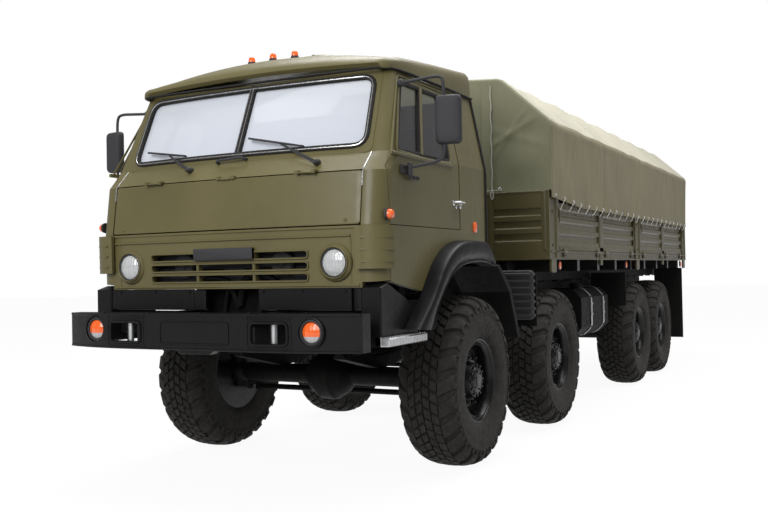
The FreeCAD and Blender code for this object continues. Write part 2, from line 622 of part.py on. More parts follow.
def build_bumper():
    """A pressed beam whose ends sweep back, with tow openings and lamp holes."""
    y = AXLES[0] - size("bumper_reach")
    half = size("bumper_half")
    sweep = size("bumper_sweep")
    wall = size("bumper_wall")
    low = size("bumper_low")
    top = size("bumper_top")
    depth = size("bumper_depth")

    def plan(shift, length, z):
        """A plan outline: a flat middle and two ends that curve back."""
        return outline_wire([
            (-half + length, y + sweep + shift), ((-half * 0.76, y + 0.30 * sweep + shift),
                                                  (-half * 0.4, y + shift)),
            (half * 0.4, y + shift),
            ((half * 0.76, y + 0.30 * sweep + shift), (half - length, y + sweep + shift)),
            (half - length, y + sweep + depth - shift), (-half + length, y + sweep + depth - shift)],
            lambda p: Vector(p[0], p[1], z))

    beam = Part.Face(plan(0, 0, low)).extrude(Vector(0, 0, top - low))
    hollow = Part.Face(plan(wall, wall, low + wall)).extrude(Vector(0, 0, top - low - 2 * wall))
    back = Part.makeBox(2 * half - 2 * wall, depth + sweep, top - low - 2 * wall,
                        Vector(-half + wall, y + sweep + depth / 2, low + wall))
    shape = beam.cut(hollow).cut(back)
    for side in (1, -1):
        x = side * size("tow_open_x")
        width = size("tow_open_half")
        opening = Part.makeBox(2 * width, 3 * depth, size("tow_open_top") - size("tow_open_low"),
                               Vector(x - width, y - depth, size("tow_open_low")))
        lamp = Part.makeCylinder(size("fog_radius"), 3 * depth,
                                 Vector(side * size("fog_x"), y - depth, size("fog_z")), Vector(0, 1, 0))
        shape = shape.cut(opening).cut(lamp)
        pin = Part.makeCylinder(size("tow_pin_radius"), top - low - wall,
                                Vector(x, y + 45, low + wall / 2))
        horn_end = size("rail_half_gap") + size("rail_flange") - size("rail_web") - size("seat_gap")
        horn = Part.makeBox(32, size("bumper_reach") - size("rail_front") - wall / 2 + 60, 115,
                            Vector(horn_end - 32 if side > 0 else -horn_end, y + wall / 2, 975))
        shape = shape.fuse(pin).fuse(horn)
    node("front_bumper", feature("FrontBumper", shape))
    lamps = []
    for label, side in (("Left", 1), ("Right", -1)):
        lamps.append(rod(f"FogLamp{label}", "y", (f"{side} * fog_x", 0, "fog_z"), "fog_radius - seat_gap",
                         "axle_1_y - bumper_reach + 36", "axle_1_y - bumper_reach + 110"))
        lamps.append(block(f"TailLamp{label}", (f"{side} * 960 - 70", f"{side} * 960 + 70"),
                           ("axle_1_y + bed_rear - 50", "axle_1_y + bed_rear - 10"),
                           ("bed_floor - bed_sill - seat_gap - 120", "bed_floor - bed_sill - seat_gap")))
    node("bumper_and_tail_lamps", group("ChassisLamps", lamps))


def build_underbody():
    """Fuel tanks, mudguard plates with their brackets, and rear flaps."""
    tanks = []
    guards = []
    for label, side in (("Left", 1), ("Right", -1)):
        def outline(grow):
            """The tank's section, let out by a strap's thickness."""
            low, high = f"tank_low - {grow}", f"tank_top + {grow}"
            near, far = f"{side} * (tank_in - {grow})", f"{side} * (tank_out + {grow})"
            return [(near, f"{low} + 60"), (f"{side} * (tank_in + 60)", low),
                    (f"{side} * (tank_out - 90)", low), (far, f"{low} + 90"), (far, f"{high} - 90"),
                    (f"{side} * (tank_out - 90)", high), (f"{side} * (tank_in + 60)", high),
                    (near, f"{high} - 60")]

        tank = prism(f"Tank{label}", "XZ", outline(0), "axle_1_y + tank_front",
                     "axle_1_y + tank_front + tank_length")
        straps = [prism(f"TankStrap{label}{y}", "XZ", outline(6),
                        f"axle_1_y + {y} - 18", f"axle_1_y + {y} + 18")
                  for y in (3390, 3875)]
        cradle = block(f"TankCradle{label}",
                       (f"{side} * tank_in" if side < 0 else "rail_half_gap + rail_flange",
                        "tank_in" if side > 0 else "-(rail_half_gap + rail_flange)"),
                       ("axle_1_y + tank_front + 300", "axle_1_y + tank_front + 380"),
                       ("rail_low", "rail_low + 160"))
        second = block(f"TankCradleRear{label}",
                       (f"{side} * tank_in" if side < 0 else "rail_half_gap + rail_flange",
                        "tank_in" if side > 0 else "-(rail_half_gap + rail_flange)"),
                       ("axle_1_y + tank_front + 780", "axle_1_y + tank_front + 860"),
                       ("rail_low", "rail_low + 160"))
        tanks.append(fuse(f"TankWithCradle{label}", [tank, cradle, second] + straps))
    node("fuel_tanks", group("FuelTanks", tanks))
    # plate: y behind the first axle, low z, top z, inner x
    plates = [(1255, 930, 1365, 860), (4450, 970, 1350, 860), (7990, 357, 1382, 860)]
    for number, (y, low, top, inner) in enumerate(plates, start=1):
        for label, side in (("Left", 1), ("Right", -1)):
            ends = (side * inner, side * 1260)
            plate = block(f"Guard{number}{label}", (min(ends), max(ends)),
                          (f"axle_1_y + {y}", f"axle_1_y + {y} + guard_thickness"), (low, top))
            arm_ends = (f"{side} * (rail_half_gap + rail_flange)", f"{side} * ({inner} + 200)")
            arm = block(f"GuardArm{number}{label}", arm_ends if side > 0 else arm_ends[::-1],
                        (f"axle_1_y + {y} + guard_thickness", f"axle_1_y + {y} + guard_thickness + 45"),
                        ("rail_low + rail_height - 90", "rail_low + rail_height - 45"))
            guards.append(fuse(f"GuardWithArm{number}{label}", [plate, arm]))
    for label, side in (("Left", 1), ("Right", -1)):
        ends = (f"{side} * 870", f"{side} * arch_out")
        strip = prism(f"ArchTail{label}", "YZ", [
            (f"axle_1_y + {y}", z) for y, z in (
                (330, 1438), (372, 1448), (620, 1262), (800, 880), (757, 868), (575, 1235))],
            *(ends if side > 0 else ends[::-1]))
        hold = (f"{side} * (rail_half_gap + rail_flange)", f"{side} * 900")
        arm = block(f"ArchTailArm{label}", hold if side > 0 else hold[::-1],
                    ("axle_1_y + 655", "axle_1_y + 700"), (1085, 1125))
        guards.append(fuse(f"ArchTailWithArm{label}", [strip, arm]))
    node("mudguards", group("Mudguards", guards))


# ------------------------------------------------------------------ cab skin
# height, half width, front ahead of the first axle, forward bow, corner across, corner along
CAB_LEVELS = [
    ("cab_low - 40", "cab_half", "cab_front - 8", 32, "corner_x", "corner_y"),
    ("waist_low", "cab_half", "cab_front", 40, "corner_x", "corner_y"),
    ("waist_top", "cab_half", "cab_front - 46", 52, "corner_x", "corner_y"),
    ("sill_z + 10", "cab_half - 2", "cab_front - 172", 72, "corner_x - 2", "corner_y - 25"),
    ("drip_z", "cab_top_half", "cab_front - 402", 64, "corner_x - 90", "corner_y - 50"),
]


def cab_section(level, inset):
    """One plan outline of the cab, moved inwards by an inset."""
    height, half, front, bow, across, along = [evaluate(value) for value in level]
    half -= inset
    front = AXLES[0] - front + inset
    rear = AXLES[0] + size("cab_rear") - inset
    across -= 0.5 * inset
    along -= 0.5 * inset
    small = 30
    points = [
        (-half + across, front), ((0, front - bow), (half - across, front)),
        ((half - 0.29 * across, front + 0.29 * along), (half, front + along)),
        (half, rear - small), ((half - 0.29 * small, rear - 0.29 * small), (half - small, rear)),
        (-half + small, rear), ((-half + 0.29 * small, rear - 0.29 * small), (-half, rear - small)),
        (-half, front + along)]
    last = ((-half + 0.29 * across, front + 0.29 * along), (-half + across, front))
    place = lambda p: Vector(p[0], p[1], height)
    wire = outline_wire(points[:1] + points[1:], place)
    edges = wire.Edges[:-1] + [Part.Arc(place((-half, front + along)), place(last[0]),
                                        place(last[1])).toShape()]
    return Part.Wire(edges)


def cab_form(inset):
    """The cab's closed form through all its levels."""
    return Part.makeLoft([cab_section(level, inset) for level in CAB_LEVELS], True, True)


def build_cab():
    """The skin, split on its real panel lines, with floor, back wall, doors and glass."""
    skin = feature("CabSkin", cab_form(0).cut(cab_form(size("cab_wall"))))
    solid = feature("CabInside", cab_form(size("cab_wall")))
    pane = feature("GlassSkin", cab_form(size("glass_inset")).cut(
        cab_form(size("glass_inset") + size("glass_thickness"))))
    wide = "(cab_half + 60)"
    door_y = "axle_1_y - door_front"
    rear_y = "axle_1_y - door_rear"
    back_y = "axle_1_y + cab_rear - cab_wall - back_return"
    above = "drip_z + 60"

    def door_outline(gap):
        """The door's outline in the side view, let out by a gap."""
        behind = "0" if gap == "0" else "door_rear_gap"
        return [(f"{door_y} - {gap}", f"waist_low - {gap}"), (f"{rear_y} + {behind}", f"waist_low - {gap}"),
                (f"{rear_y} + {behind}", f"drip_z - 22 + {gap}"),
                (f"{door_y} + door_lean - {gap}", f"drip_z - 22 + {gap}"),
                (f"{door_y} + door_sill_lean - {gap}", "sill_z"), (f"{door_y} - {gap}", "waist_top + 20")]

    window = [(f"{door_y} + 130", "sill_z + 18"), (f"{rear_y} - 155", "sill_z + 18"),
              (f"{rear_y} - 98", "drip_z - 70"), (f"{door_y} + 384", "drip_z - 70")]
    for label, side in (("left", 1), ("right", -1)):
        span = ("100", wide) if side > 0 else (f"-{wide}", "-100")
        # door
        leaf = prism(f"DoorCut{label}", "YZ", door_outline("0"), *span)
        hole = prism(f"DoorWindow{label}", "YZ", window, *span)
        door = cut(f"Door{label}", common(f"DoorSkin{label}", skin, leaf), [hole])
        pillar = prism(f"VentPost{label}", "YZ", [
            (f"{door_y} + 459", "sill_z"), (f"{door_y} + 489", "sill_z"),
            (f"{door_y} + 693", "drip_z - 50"), (f"{door_y} + 663", "drip_z - 50")], *span)
        post = common(f"DoorPost{label}", feature(f"PostSkin{label}", cab_form(0).cut(
            cab_form(size("cab_wall") - 12))), pillar)
        node(f"door_{label}", fuse(f"DoorLeaf{label}", [door, post]))
        glass_area = cut(f"GlassArea{label}", common(f"GlassPane{label}", pane, hole), [pillar])
        node(f"door_glass_{label}", glass_area)
        # side shell round the door
        shell_area = prism(f"SideArea{label}", "YZ", [
            (door_y, "cab_low - 60"), (back_y, "cab_low - 60"), (back_y, above),
            (f"{door_y} + door_lean", above), (f"{door_y} + door_lean", "drip_z - 22"),
            (f"{door_y} + door_sill_lean", "sill_z"), (door_y, "waist_top + 20")], *span)
        aperture = prism(f"DoorHole{label}", "YZ", door_outline("running_clearance"), *span)
        arch = prism(f"ArchCut{label}", "YZ", [
            ("axle_1_y - 1500", 1200), ("axle_1_y + 600", 1200), ("axle_1_y + 600", 1600),
            ("axle_1_y - 200", 1600), ("axle_1_y - 440", 1552), ("axle_1_y - 611", 1445),
            ("axle_1_y - 753", 1281), ("axle_1_y - 1226", 1356), ("axle_1_y - 1500", 1356)], *span)
        side_shell = cut(f"SideShell{label}", common(f"SideSkin{label}", skin, shell_area),
                         [aperture, arch])
        node(f"cab_side_{label}", side_shell)

    back = block("BackArea", (f"-{wide}", wide), (back_y, "axle_1_y + cab_rear + 10"),
                 ("floor_z - floor_thickness", above))
    node("cab_back", common("CabBack", skin, back))

    floor = prism("FloorSection", "XZ", [
        (f"-{wide}", "floor_z"), (f"-{wide}", "floor_z - floor_thickness"),
        ("-tunnel_half + floor_thickness", "floor_z - floor_thickness"),
        ("-tunnel_half + floor_thickness", "tunnel_z - floor_thickness"),
        ("tunnel_half - floor_thickness", "tunnel_z - floor_thickness"),
        ("tunnel_half - floor_thickness", "floor_z - floor_thickness"),
        (wide, "floor_z - floor_thickness"), (wide, "floor_z"), ("tunnel_half", "floor_z"),
        ("tunnel_half", "tunnel_z"), ("-tunnel_half", "tunnel_z"), ("-tunnel_half", "floor_z")],
        "axle_1_y - cab_front + 80", "axle_1_y + cab_rear")
    arms = []
    for label, side in (("Left", 1), ("Right", -1)):
        ends = (f"{side} * tilt_arm_x", f"{side} * (tilt_arm_x + tilt_arm)")
        ends = ends if side > 0 else ends[::-1]
        arms.append(prism(f"TiltArm{label}", "YZ", [
            ("axle_1_y - tilt_y - 30", "tilt_z - 30"), ("axle_1_y - tilt_y + 240", "tilt_z - 30"),
            ("axle_1_y - tilt_y + 330", "tilt_z + 60"),
            ("axle_1_y - tilt_y + 330", "floor_z - floor_thickness"),
            ("axle_1_y - tilt_y + 210", "floor_z - floor_thickness"),
            ("axle_1_y - tilt_y + 170", "tilt_z + 90"), ("axle_1_y - tilt_y + 120", "tilt_z + 30"),
            ("axle_1_y - tilt_y - 30", "tilt_z + 30")], *ends))
        arms.append(block(f"TiltBrace{label}", ends, ("axle_1_y - tilt_y + 210", "axle_1_y - tilt_y + 330"),
                          ("floor_z - floor_thickness", "tunnel_z - floor_thickness")))
    node("cab_floor", fuse("CabFloorWithArms", [common("CabFloor", solid, floor)] + arms))

    # front: flap, grille panel, and the frame that stays
    panel_y = ("axle_1_y - cab_front - 200", "axle_1_y - cab_front + 190")
    flap_area = block("FlapArea", ("-panel_half", "panel_half"), panel_y, ("waist_low", "waist_top"))
    hinge_y = "axle_1_y - cab_front - 11"
    hinge_z = "waist_top + 3"
    # the leaf with its barrel in the side view: behind the pin, above the pin
    leaf = [(-11, -5), (-5, -11), (20, -11), (20, -50), (36, -50), (36, -3), (11, -3), (11, 5), (5, 11),
            (-5, 11), (-11, 5)]
    lug = [(-10, -7), (5, -7), (9, 2), (50, 2), (50, 14), (-10, 14)]
    leaves = []
    lugs = []
    notches = []
    recesses = []
    for label, x in (("Left", "620"), ("Middle", "0"), ("Right", "-620")):
        at = (0, hinge_y, hinge_z)
        bore = rod(f"FlapBore{label}", "x", at, "hinge_pin + seat_gap", f"{x} - 45", f"{x} + 45")
        leaves.append(cut(f"FlapLeaf{label}", prism(f"FlapLeafPlate{label}", "YZ", [
            (f"{hinge_y} + {behind}", f"{hinge_z} + {above}") for behind, above in leaf],
            f"{x} - 40", f"{x} + 40"), [bore]))
        notches.append(block(f"FlapNotch{label}", (f"{x} - 80", f"{x} + 80"), panel_y,
                             ("waist_top - 22", "waist_top + 10")))
        recesses.append(rod(f"FlapRecess{label}", "x", at, "3 * hinge_pin", f"{x} - 45", f"{x} + 45"))
        lugs.append(rod(f"FlapPin{label}", "x", at, "hinge_pin", f"{x} - 60", f"{x} + 60"))
        for side in (1, -1):
            ends = (f"{x} + {side} * 60 - 14", f"{x} + {side} * 60 + 14")
            lugs.append(prism(f"FlapLug{label}{side + 1}", "YZ", [
                (f"{hinge_y} + {behind}", f"{hinge_z} + {above}") for behind, above in lug], *ends))
    panel = cut("FrontFlapNotched", common("FrontFlap", skin, flap_area), notches)
    node("front_flap", fuse("FrontFlapWhole", [panel] + leaves))
    beside = "panel_half + running_clearance - seat_gap"
    grille_area = block("GrilleArea", (f"-({beside})", beside), panel_y,
                        ("cab_low", "waist_low - running_clearance"))
    slots = []
    for row in range(int(size("grille_rows"))):
        low = f"grille_low + {row} * grille_pitch"
        for label, edges in (("Left", ("grille_post_x + grille_post / 2", "grille_half")),
                             ("Middle", ("-grille_post_x + grille_post / 2",
                                         "grille_post_x - grille_post / 2")),
                             ("Right", ("-grille_half", "-grille_post_x - grille_post / 2"))):
            slots.append(block(f"Slot{row}{label}", edges, panel_y, (low, f"{low} + grille_slot")))
    for label, side in (("Left", 1), ("Right", -1)):
        slots.append(rod(f"HeadHole{label}", "y", (f"{side} * head_x", 0, "head_z"), "head_radius",
                         *panel_y))
    grille = cut("GrillePanel", common("GrilleSkin", skin, grille_area), slots)
    bar = block("GrilleBar", ("-238", "238"), ("axle_1_y - cab_front - 58", "axle_1_y - cab_front - 34"),
                (1507, 1585))
    node("grille_panel", fuse("GrillePanelWhole", [grille, bar]))

    front_area = prism("FrontArea", "YZ", [
        ("axle_1_y - cab_front - 200", "cab_low + 20"), (f"{door_y} - running_clearance", "cab_low + 42"),
        (f"{door_y} - running_clearance", "waist_top + 20"),
        (f"{door_y} + door_sill_lean - running_clearance", "sill_z"),
        (f"{door_y} + door_lean - running_clearance", "drip_z - 22"),
        (f"{door_y} + door_lean - running_clearance", above), ("axle_1_y - cab_front - 200", above)],
        f"-{wide}", wide)
    seams = block("FlapSeam", ("-(panel_half + running_clearance)", "panel_half + running_clearance"),
                  panel_y, ("cab_low - 50", "waist_top + running_clearance"))
    screen = prism("ScreenHole", "XZ", [
        ("-screen_half_low", "screen_low"), ("screen_half_low", "screen_low"),
        ("screen_half_top", "screen_top"), ("-screen_half_top", "screen_top")],
        "axle_1_y - cab_front - 200", "axle_1_y - 600")
    post = block("ScreenPostArea", ("-screen_post / 2", "screen_post / 2"),
                 ("axle_1_y - cab_front - 200", "axle_1_y - 600"), ("screen_low - 20", "screen_top + 20"))
    front = cut("CabFrontFrame", common("FrontSkin", skin, front_area), [seams, screen] + recesses)
    centre = common("ScreenPost", skin, post)
    node("cab_front", fuse("CabFront", [front, centre] + lugs))
    glass = cut("ScreenGlass", common("ScreenPane", pane, screen), [post])
    node("windscreen", glass)

    node("headlights", group("Headlights", [
        rod(f"Headlight{label}", "y", (f"{side} * head_x", 0, "head_z"), "head_radius",
            "axle_1_y - cab_front - 10", "axle_1_y - cab_front + 36")
        for label, side in (("Left", 1), ("Right", -1))]))


def build_roof():
    """A moulded roof, a shell through six cross sections, with a hatch opening."""
    # y ahead(-) of or behind the first axle, half width, top of the rim, crown height
    sections = [(-968, 985, 2792, 2818), (-915, 1032, 2812, 2876), (-750, 1048, 2838, 2935),
                (-200, 1052, 2890, 3020), (385, 1050, 2940, 3090), (432, 1030, 2905, 3050)]
    low = size("drip_z")

    def section(row, inset, drop):
        """One cross section of the roof, a rim and an arched top."""
        y, half, rim, crown = row
        half -= inset
        rim -= inset
        crown -= inset
        y = AXLES[0] + y + (inset if y < 0 else -inset)
        arch = [(part * (half - 60), rim + 8 + (crown - rim - 8) * (1 - part * part))
                for part in (1, 0.75, 0.5, 0.25, 0, -0.25, -0.5, -0.75, -1)]
        rise = rim - low + drop
        corner = [(half, low - drop), (half, rim - 0.4 * rise), (half - 14, rim - 0.1 * rise)]
        outline = corner + arch + [(-x, z) for x, z in corner[::-1]]
        return [Vector(x, y, z) for x, z in outline]

    outer = facet_loft([section(row, 0, 0) for row in sections])
    inner = facet_loft([section(row, size("roof_wall"), 5) for row in sections])
    shell = feature("RoofShell", outer.cut(inner))
    hole = block("HatchHole", ("-hatch_half + 30", "hatch_half - 30"),
                 ("axle_1_y - hatch_front + 30", "axle_1_y - hatch_front + hatch_length - 30"),
                 ("drip_z + 100", 3300))
    node("cab_roof", cut("CabRoof", shell, [hole]))
    lid_area = block("HatchArea", ("-hatch_half", "hatch_half"),
                     ("axle_1_y - hatch_front", "axle_1_y - hatch_front + hatch_length"),
                     ("drip_z + 100", 3300))
    raised = outer.copy()
    raised.translate(Vector(0, 0, size("hatch_thickness")))
    clear = outer.copy()
    clear.translate(Vector(0, 0, size("seat_gap") + 0.3))
    lid = feature("LidSkin", raised.cut(clear))
    node("roof_hatch", common("RoofHatch", lid, lid_area))
    seat = outer.copy()
    seat.translate(Vector(0, 0, size("seat_gap")))
    roof_top = feature("RoofTop", seat)
    lamps = [cut(f"RoofLamp{i}", rod(f"RoofLampBody{i}", "z", (
        f"{i - 1} * marker_pitch", "axle_1_y - marker_y", 0), "marker_radius", 2900, 2985), [roof_top])
        for i in range(3)]
    for label, side in (("Left", 1), ("Right", -1)):
        ends = (f"{side} * (cab_half + seat_gap)", f"{side} * (cab_half + 24)")
        lamps.append(rod(f"CornerLamp{label}", "x", (0, "axle_1_y - door_front - 40", 1764), 26,
                         *(ends if side > 0 else ends[::-1])))
    node("marker_lamps", group("MarkerLamps", lamps))


def build_cab_trim():
    """Black lower panels, arches and steps, corner deflectors, dashboard and seats."""
    front = "axle_1_y - cab_front"
    parts = []
    for label, side in (("Left", 1), ("Right", -1)):
        ends = (f"{side} * 262", f"{side} * 950")
        parts.append(block(f"LowerPanel{label}", ends if side > 0 else ends[::-1],
                           (f"{front} - 30", f"{front} - 5"), ("bumper_top + 8", "cab_low - seat_gap")))
        arch = side_slab([(-1031, 1045), (-753, 1281), ((-480, 1560), (-130, 1628)),
                          (190, 1622), (320, 1478), (288, 1444), (60, 1474),
                          ((-480, 1400), (-735, 1160)), (-791, 1030)],
                         side * (size("cab_half") + 0.3), side * size("arch_out"))
        parts.append(feature(f"Arch{label}", arch))
        box = prism(f"StepBox{label}", "YZ", [
            ("axle_1_y - 1330", "step_low"), ("axle_1_y - 812", "step_low"),
            ("axle_1_y - 812", 1240), ("axle_1_y - 1226", 1350), ("axle_1_y - 1330", 1320)],
            *(("panel_half + 5", "cab_half") if side > 0 else ("-cab_half", "-(panel_half + 5)")))
        tread = (f"{side} * (panel_half + 105)", f"{side} * step_out")
        plate = block(f"StepPlate{label}", tread if side > 0 else tread[::-1],
                      ("axle_1_y - 1330", "axle_1_y - 790"), ("step_low + 4", "step_low + 58"))
        parts.append(fuse(f"StepWhole{label}", [box, plate]))
    node("cab_lower_trim", group("CabLowerTrim", parts))
    plates = []
    for label, side in (("Left", 1), ("Right", -1)):
        wall = cab_form(-38).cut(cab_form(-14))
        area = Part.makeBox(260, 150, 265, Vector(985 if side > 0 else -1245,
                                                   AXLES[0] - size("cab_front") - 60, 1432))
        stays = [Part.makeBox(26, 150, 26, Vector(x if side > 0 else -x - 26,
                                                  AXLES[0] - size("cab_front") - 60, z))
                 for x, z in ((1008, 1455), (1008, 1650), (1085, 1455), (1085, 1650))]
        feet = cab_form(-20).cut(cab_form(-size("seat_gap"))).common(stays[0].multiFuse(stays[1:]))
        plates.append(feature(f"Deflector{label}", wall.common(area).fuse(feet)))
    node("corner_deflectors", group("CornerDeflectors", plates))
    inside = feature("DashSpace", cab_form(size("cab_wall") + size("dash_gap")))
    top = prism("DashSection", "YZ", [
        ("axle_1_y - 1400", 1760), ("axle_1_y - 900", 1760), ("axle_1_y - 860", 1950),
        ("axle_1_y - 960", 2130), ("axle_1_y - 1400", 2130)], "-1060", "1060")
    dash = common("DashBody", inside, top)
    seat = cab_form(size("cab_wall") + size("seat_gap")).cut(
        cab_form(size("cab_wall") + size("dash_gap") + 4))
    tabs = [feature(f"DashTab{x}", seat.common(Part.makeBox(
        60, 300, 50, Vector(x - 30, AXLES[0] - size("cab_front"), 2070)))) for x in (-700, 0, 700)]
    column = rod("SteeringColumn", "z", (520, "axle_1_y - 800", 0), 24, 1700, 2060)
    wheel_rings = [[Vector(520 + (225 + 15 * math.cos(turn)) * math.cos(angle),
                           AXLES[0] - 800 + (225 + 15 * math.cos(turn)) * math.sin(angle),
                           2060 + 15 * math.sin(turn))
                    for turn in (0, math.pi / 2, math.pi, 1.5 * math.pi)]
                   for angle in (2 * math.pi * step / 20 for step in range(20))]
    rim = feature("SteeringRim", facet_ring(wheel_rings))
    spoke = block("SteeringSpoke", (300, 740), ("axle_1_y - 815", "axle_1_y - 785"), (2050, 2066))
    shroud = block("ColumnShroud", (490, 550), ("axle_1_y - 900", "axle_1_y - 785"), (1800, 1900))
    node("dashboard", fuse("Dashboard", [dash, column, rim, spoke, shroud] + tabs))
    seats = []
    for label, x in (("Driver", 640), ("Passenger", -640)):
        cushion = block(f"{label}Cushion", (f"{x} - 245", f"{x} + 245"),
                        ("axle_1_y - 430", "axle_1_y + 90"), ("floor_z + 330", "floor_z + 450"))
        base = block(f"{label}Base", (f"{x} - 160", f"{x} + 160"),
                     ("axle_1_y - 380", "axle_1_y + 60"), ("floor_z", "floor_z + 330"))
        rest = prism(f"{label}Back", "YZ", [
            ("axle_1_y + 60", "floor_z + 400"), ("axle_1_y + 180", "floor_z + 400"),
            ("axle_1_y + 270", "floor_z + 1050"), ("axle_1_y + 180", "floor_z + 1050")],
            f"{x} - 240", f"{x} + 240")
        seats.append(fuse(f"{label}Seat", [cushion, base, rest]))
    node("seats", group("Seats", seats))


def build_mirrors():
    """A mirror head on a bent tube arm, bolted to each door."""
    tube = size("mirror_tube")
    stem = size("mirror_x") - 30
    foot_x = size("cab_half") + size("seat_gap")
    depth = size("mirror_depth")
    width = size("mirror_width")
    height = size("mirror_height")
    for label, side in (("left", 1), ("right", -1)):
        # the arm's corners: out from the door's top corner, down, and back in to its bracket
        route = [Vector(side * x, AXLES[0] - y, z) for x, y, z in (
            (1068, 845, 2645), (stem - 30, 852, 2658), (stem, 858, 2625), (stem, 858, 2145),
            (stem - 40, 870, 2105), (foot_x + 25, 960, 2075))]
        shape = Part.makeSphere(tube, route[1])
        for start, end in zip(route, route[1:]):
            bar = Part.makeCylinder(tube, start.distanceToPoint(end), start, end - start)
            shape = shape.fuse(bar).fuse(Part.makeSphere(tube, end))
        head = Part.makeBox(width, depth, height, Vector(-width / 2, -depth / 2, -height / 2))
        head = head.makeChamfer(depth * 0.3, head.Edges)
        turn = FreeCAD.Rotation(Vector(0, 0, 1), side * size("mirror_turn"))
        head.Placement = FreeCAD.Placement(
            Vector(side * size("mirror_x"), AXLES[0] - 858, size("mirror_z")), turn)
        foot = Part.makeBox(48, 110, 64, Vector(foot_x if side > 0 else -foot_x - 48,
                                                AXLES[0] - 1045, 2024))
        shape = shape.fuse(head).fuse(foot)
        node(f"mirror_{label}", feature(f"Mirror{label}", shape))


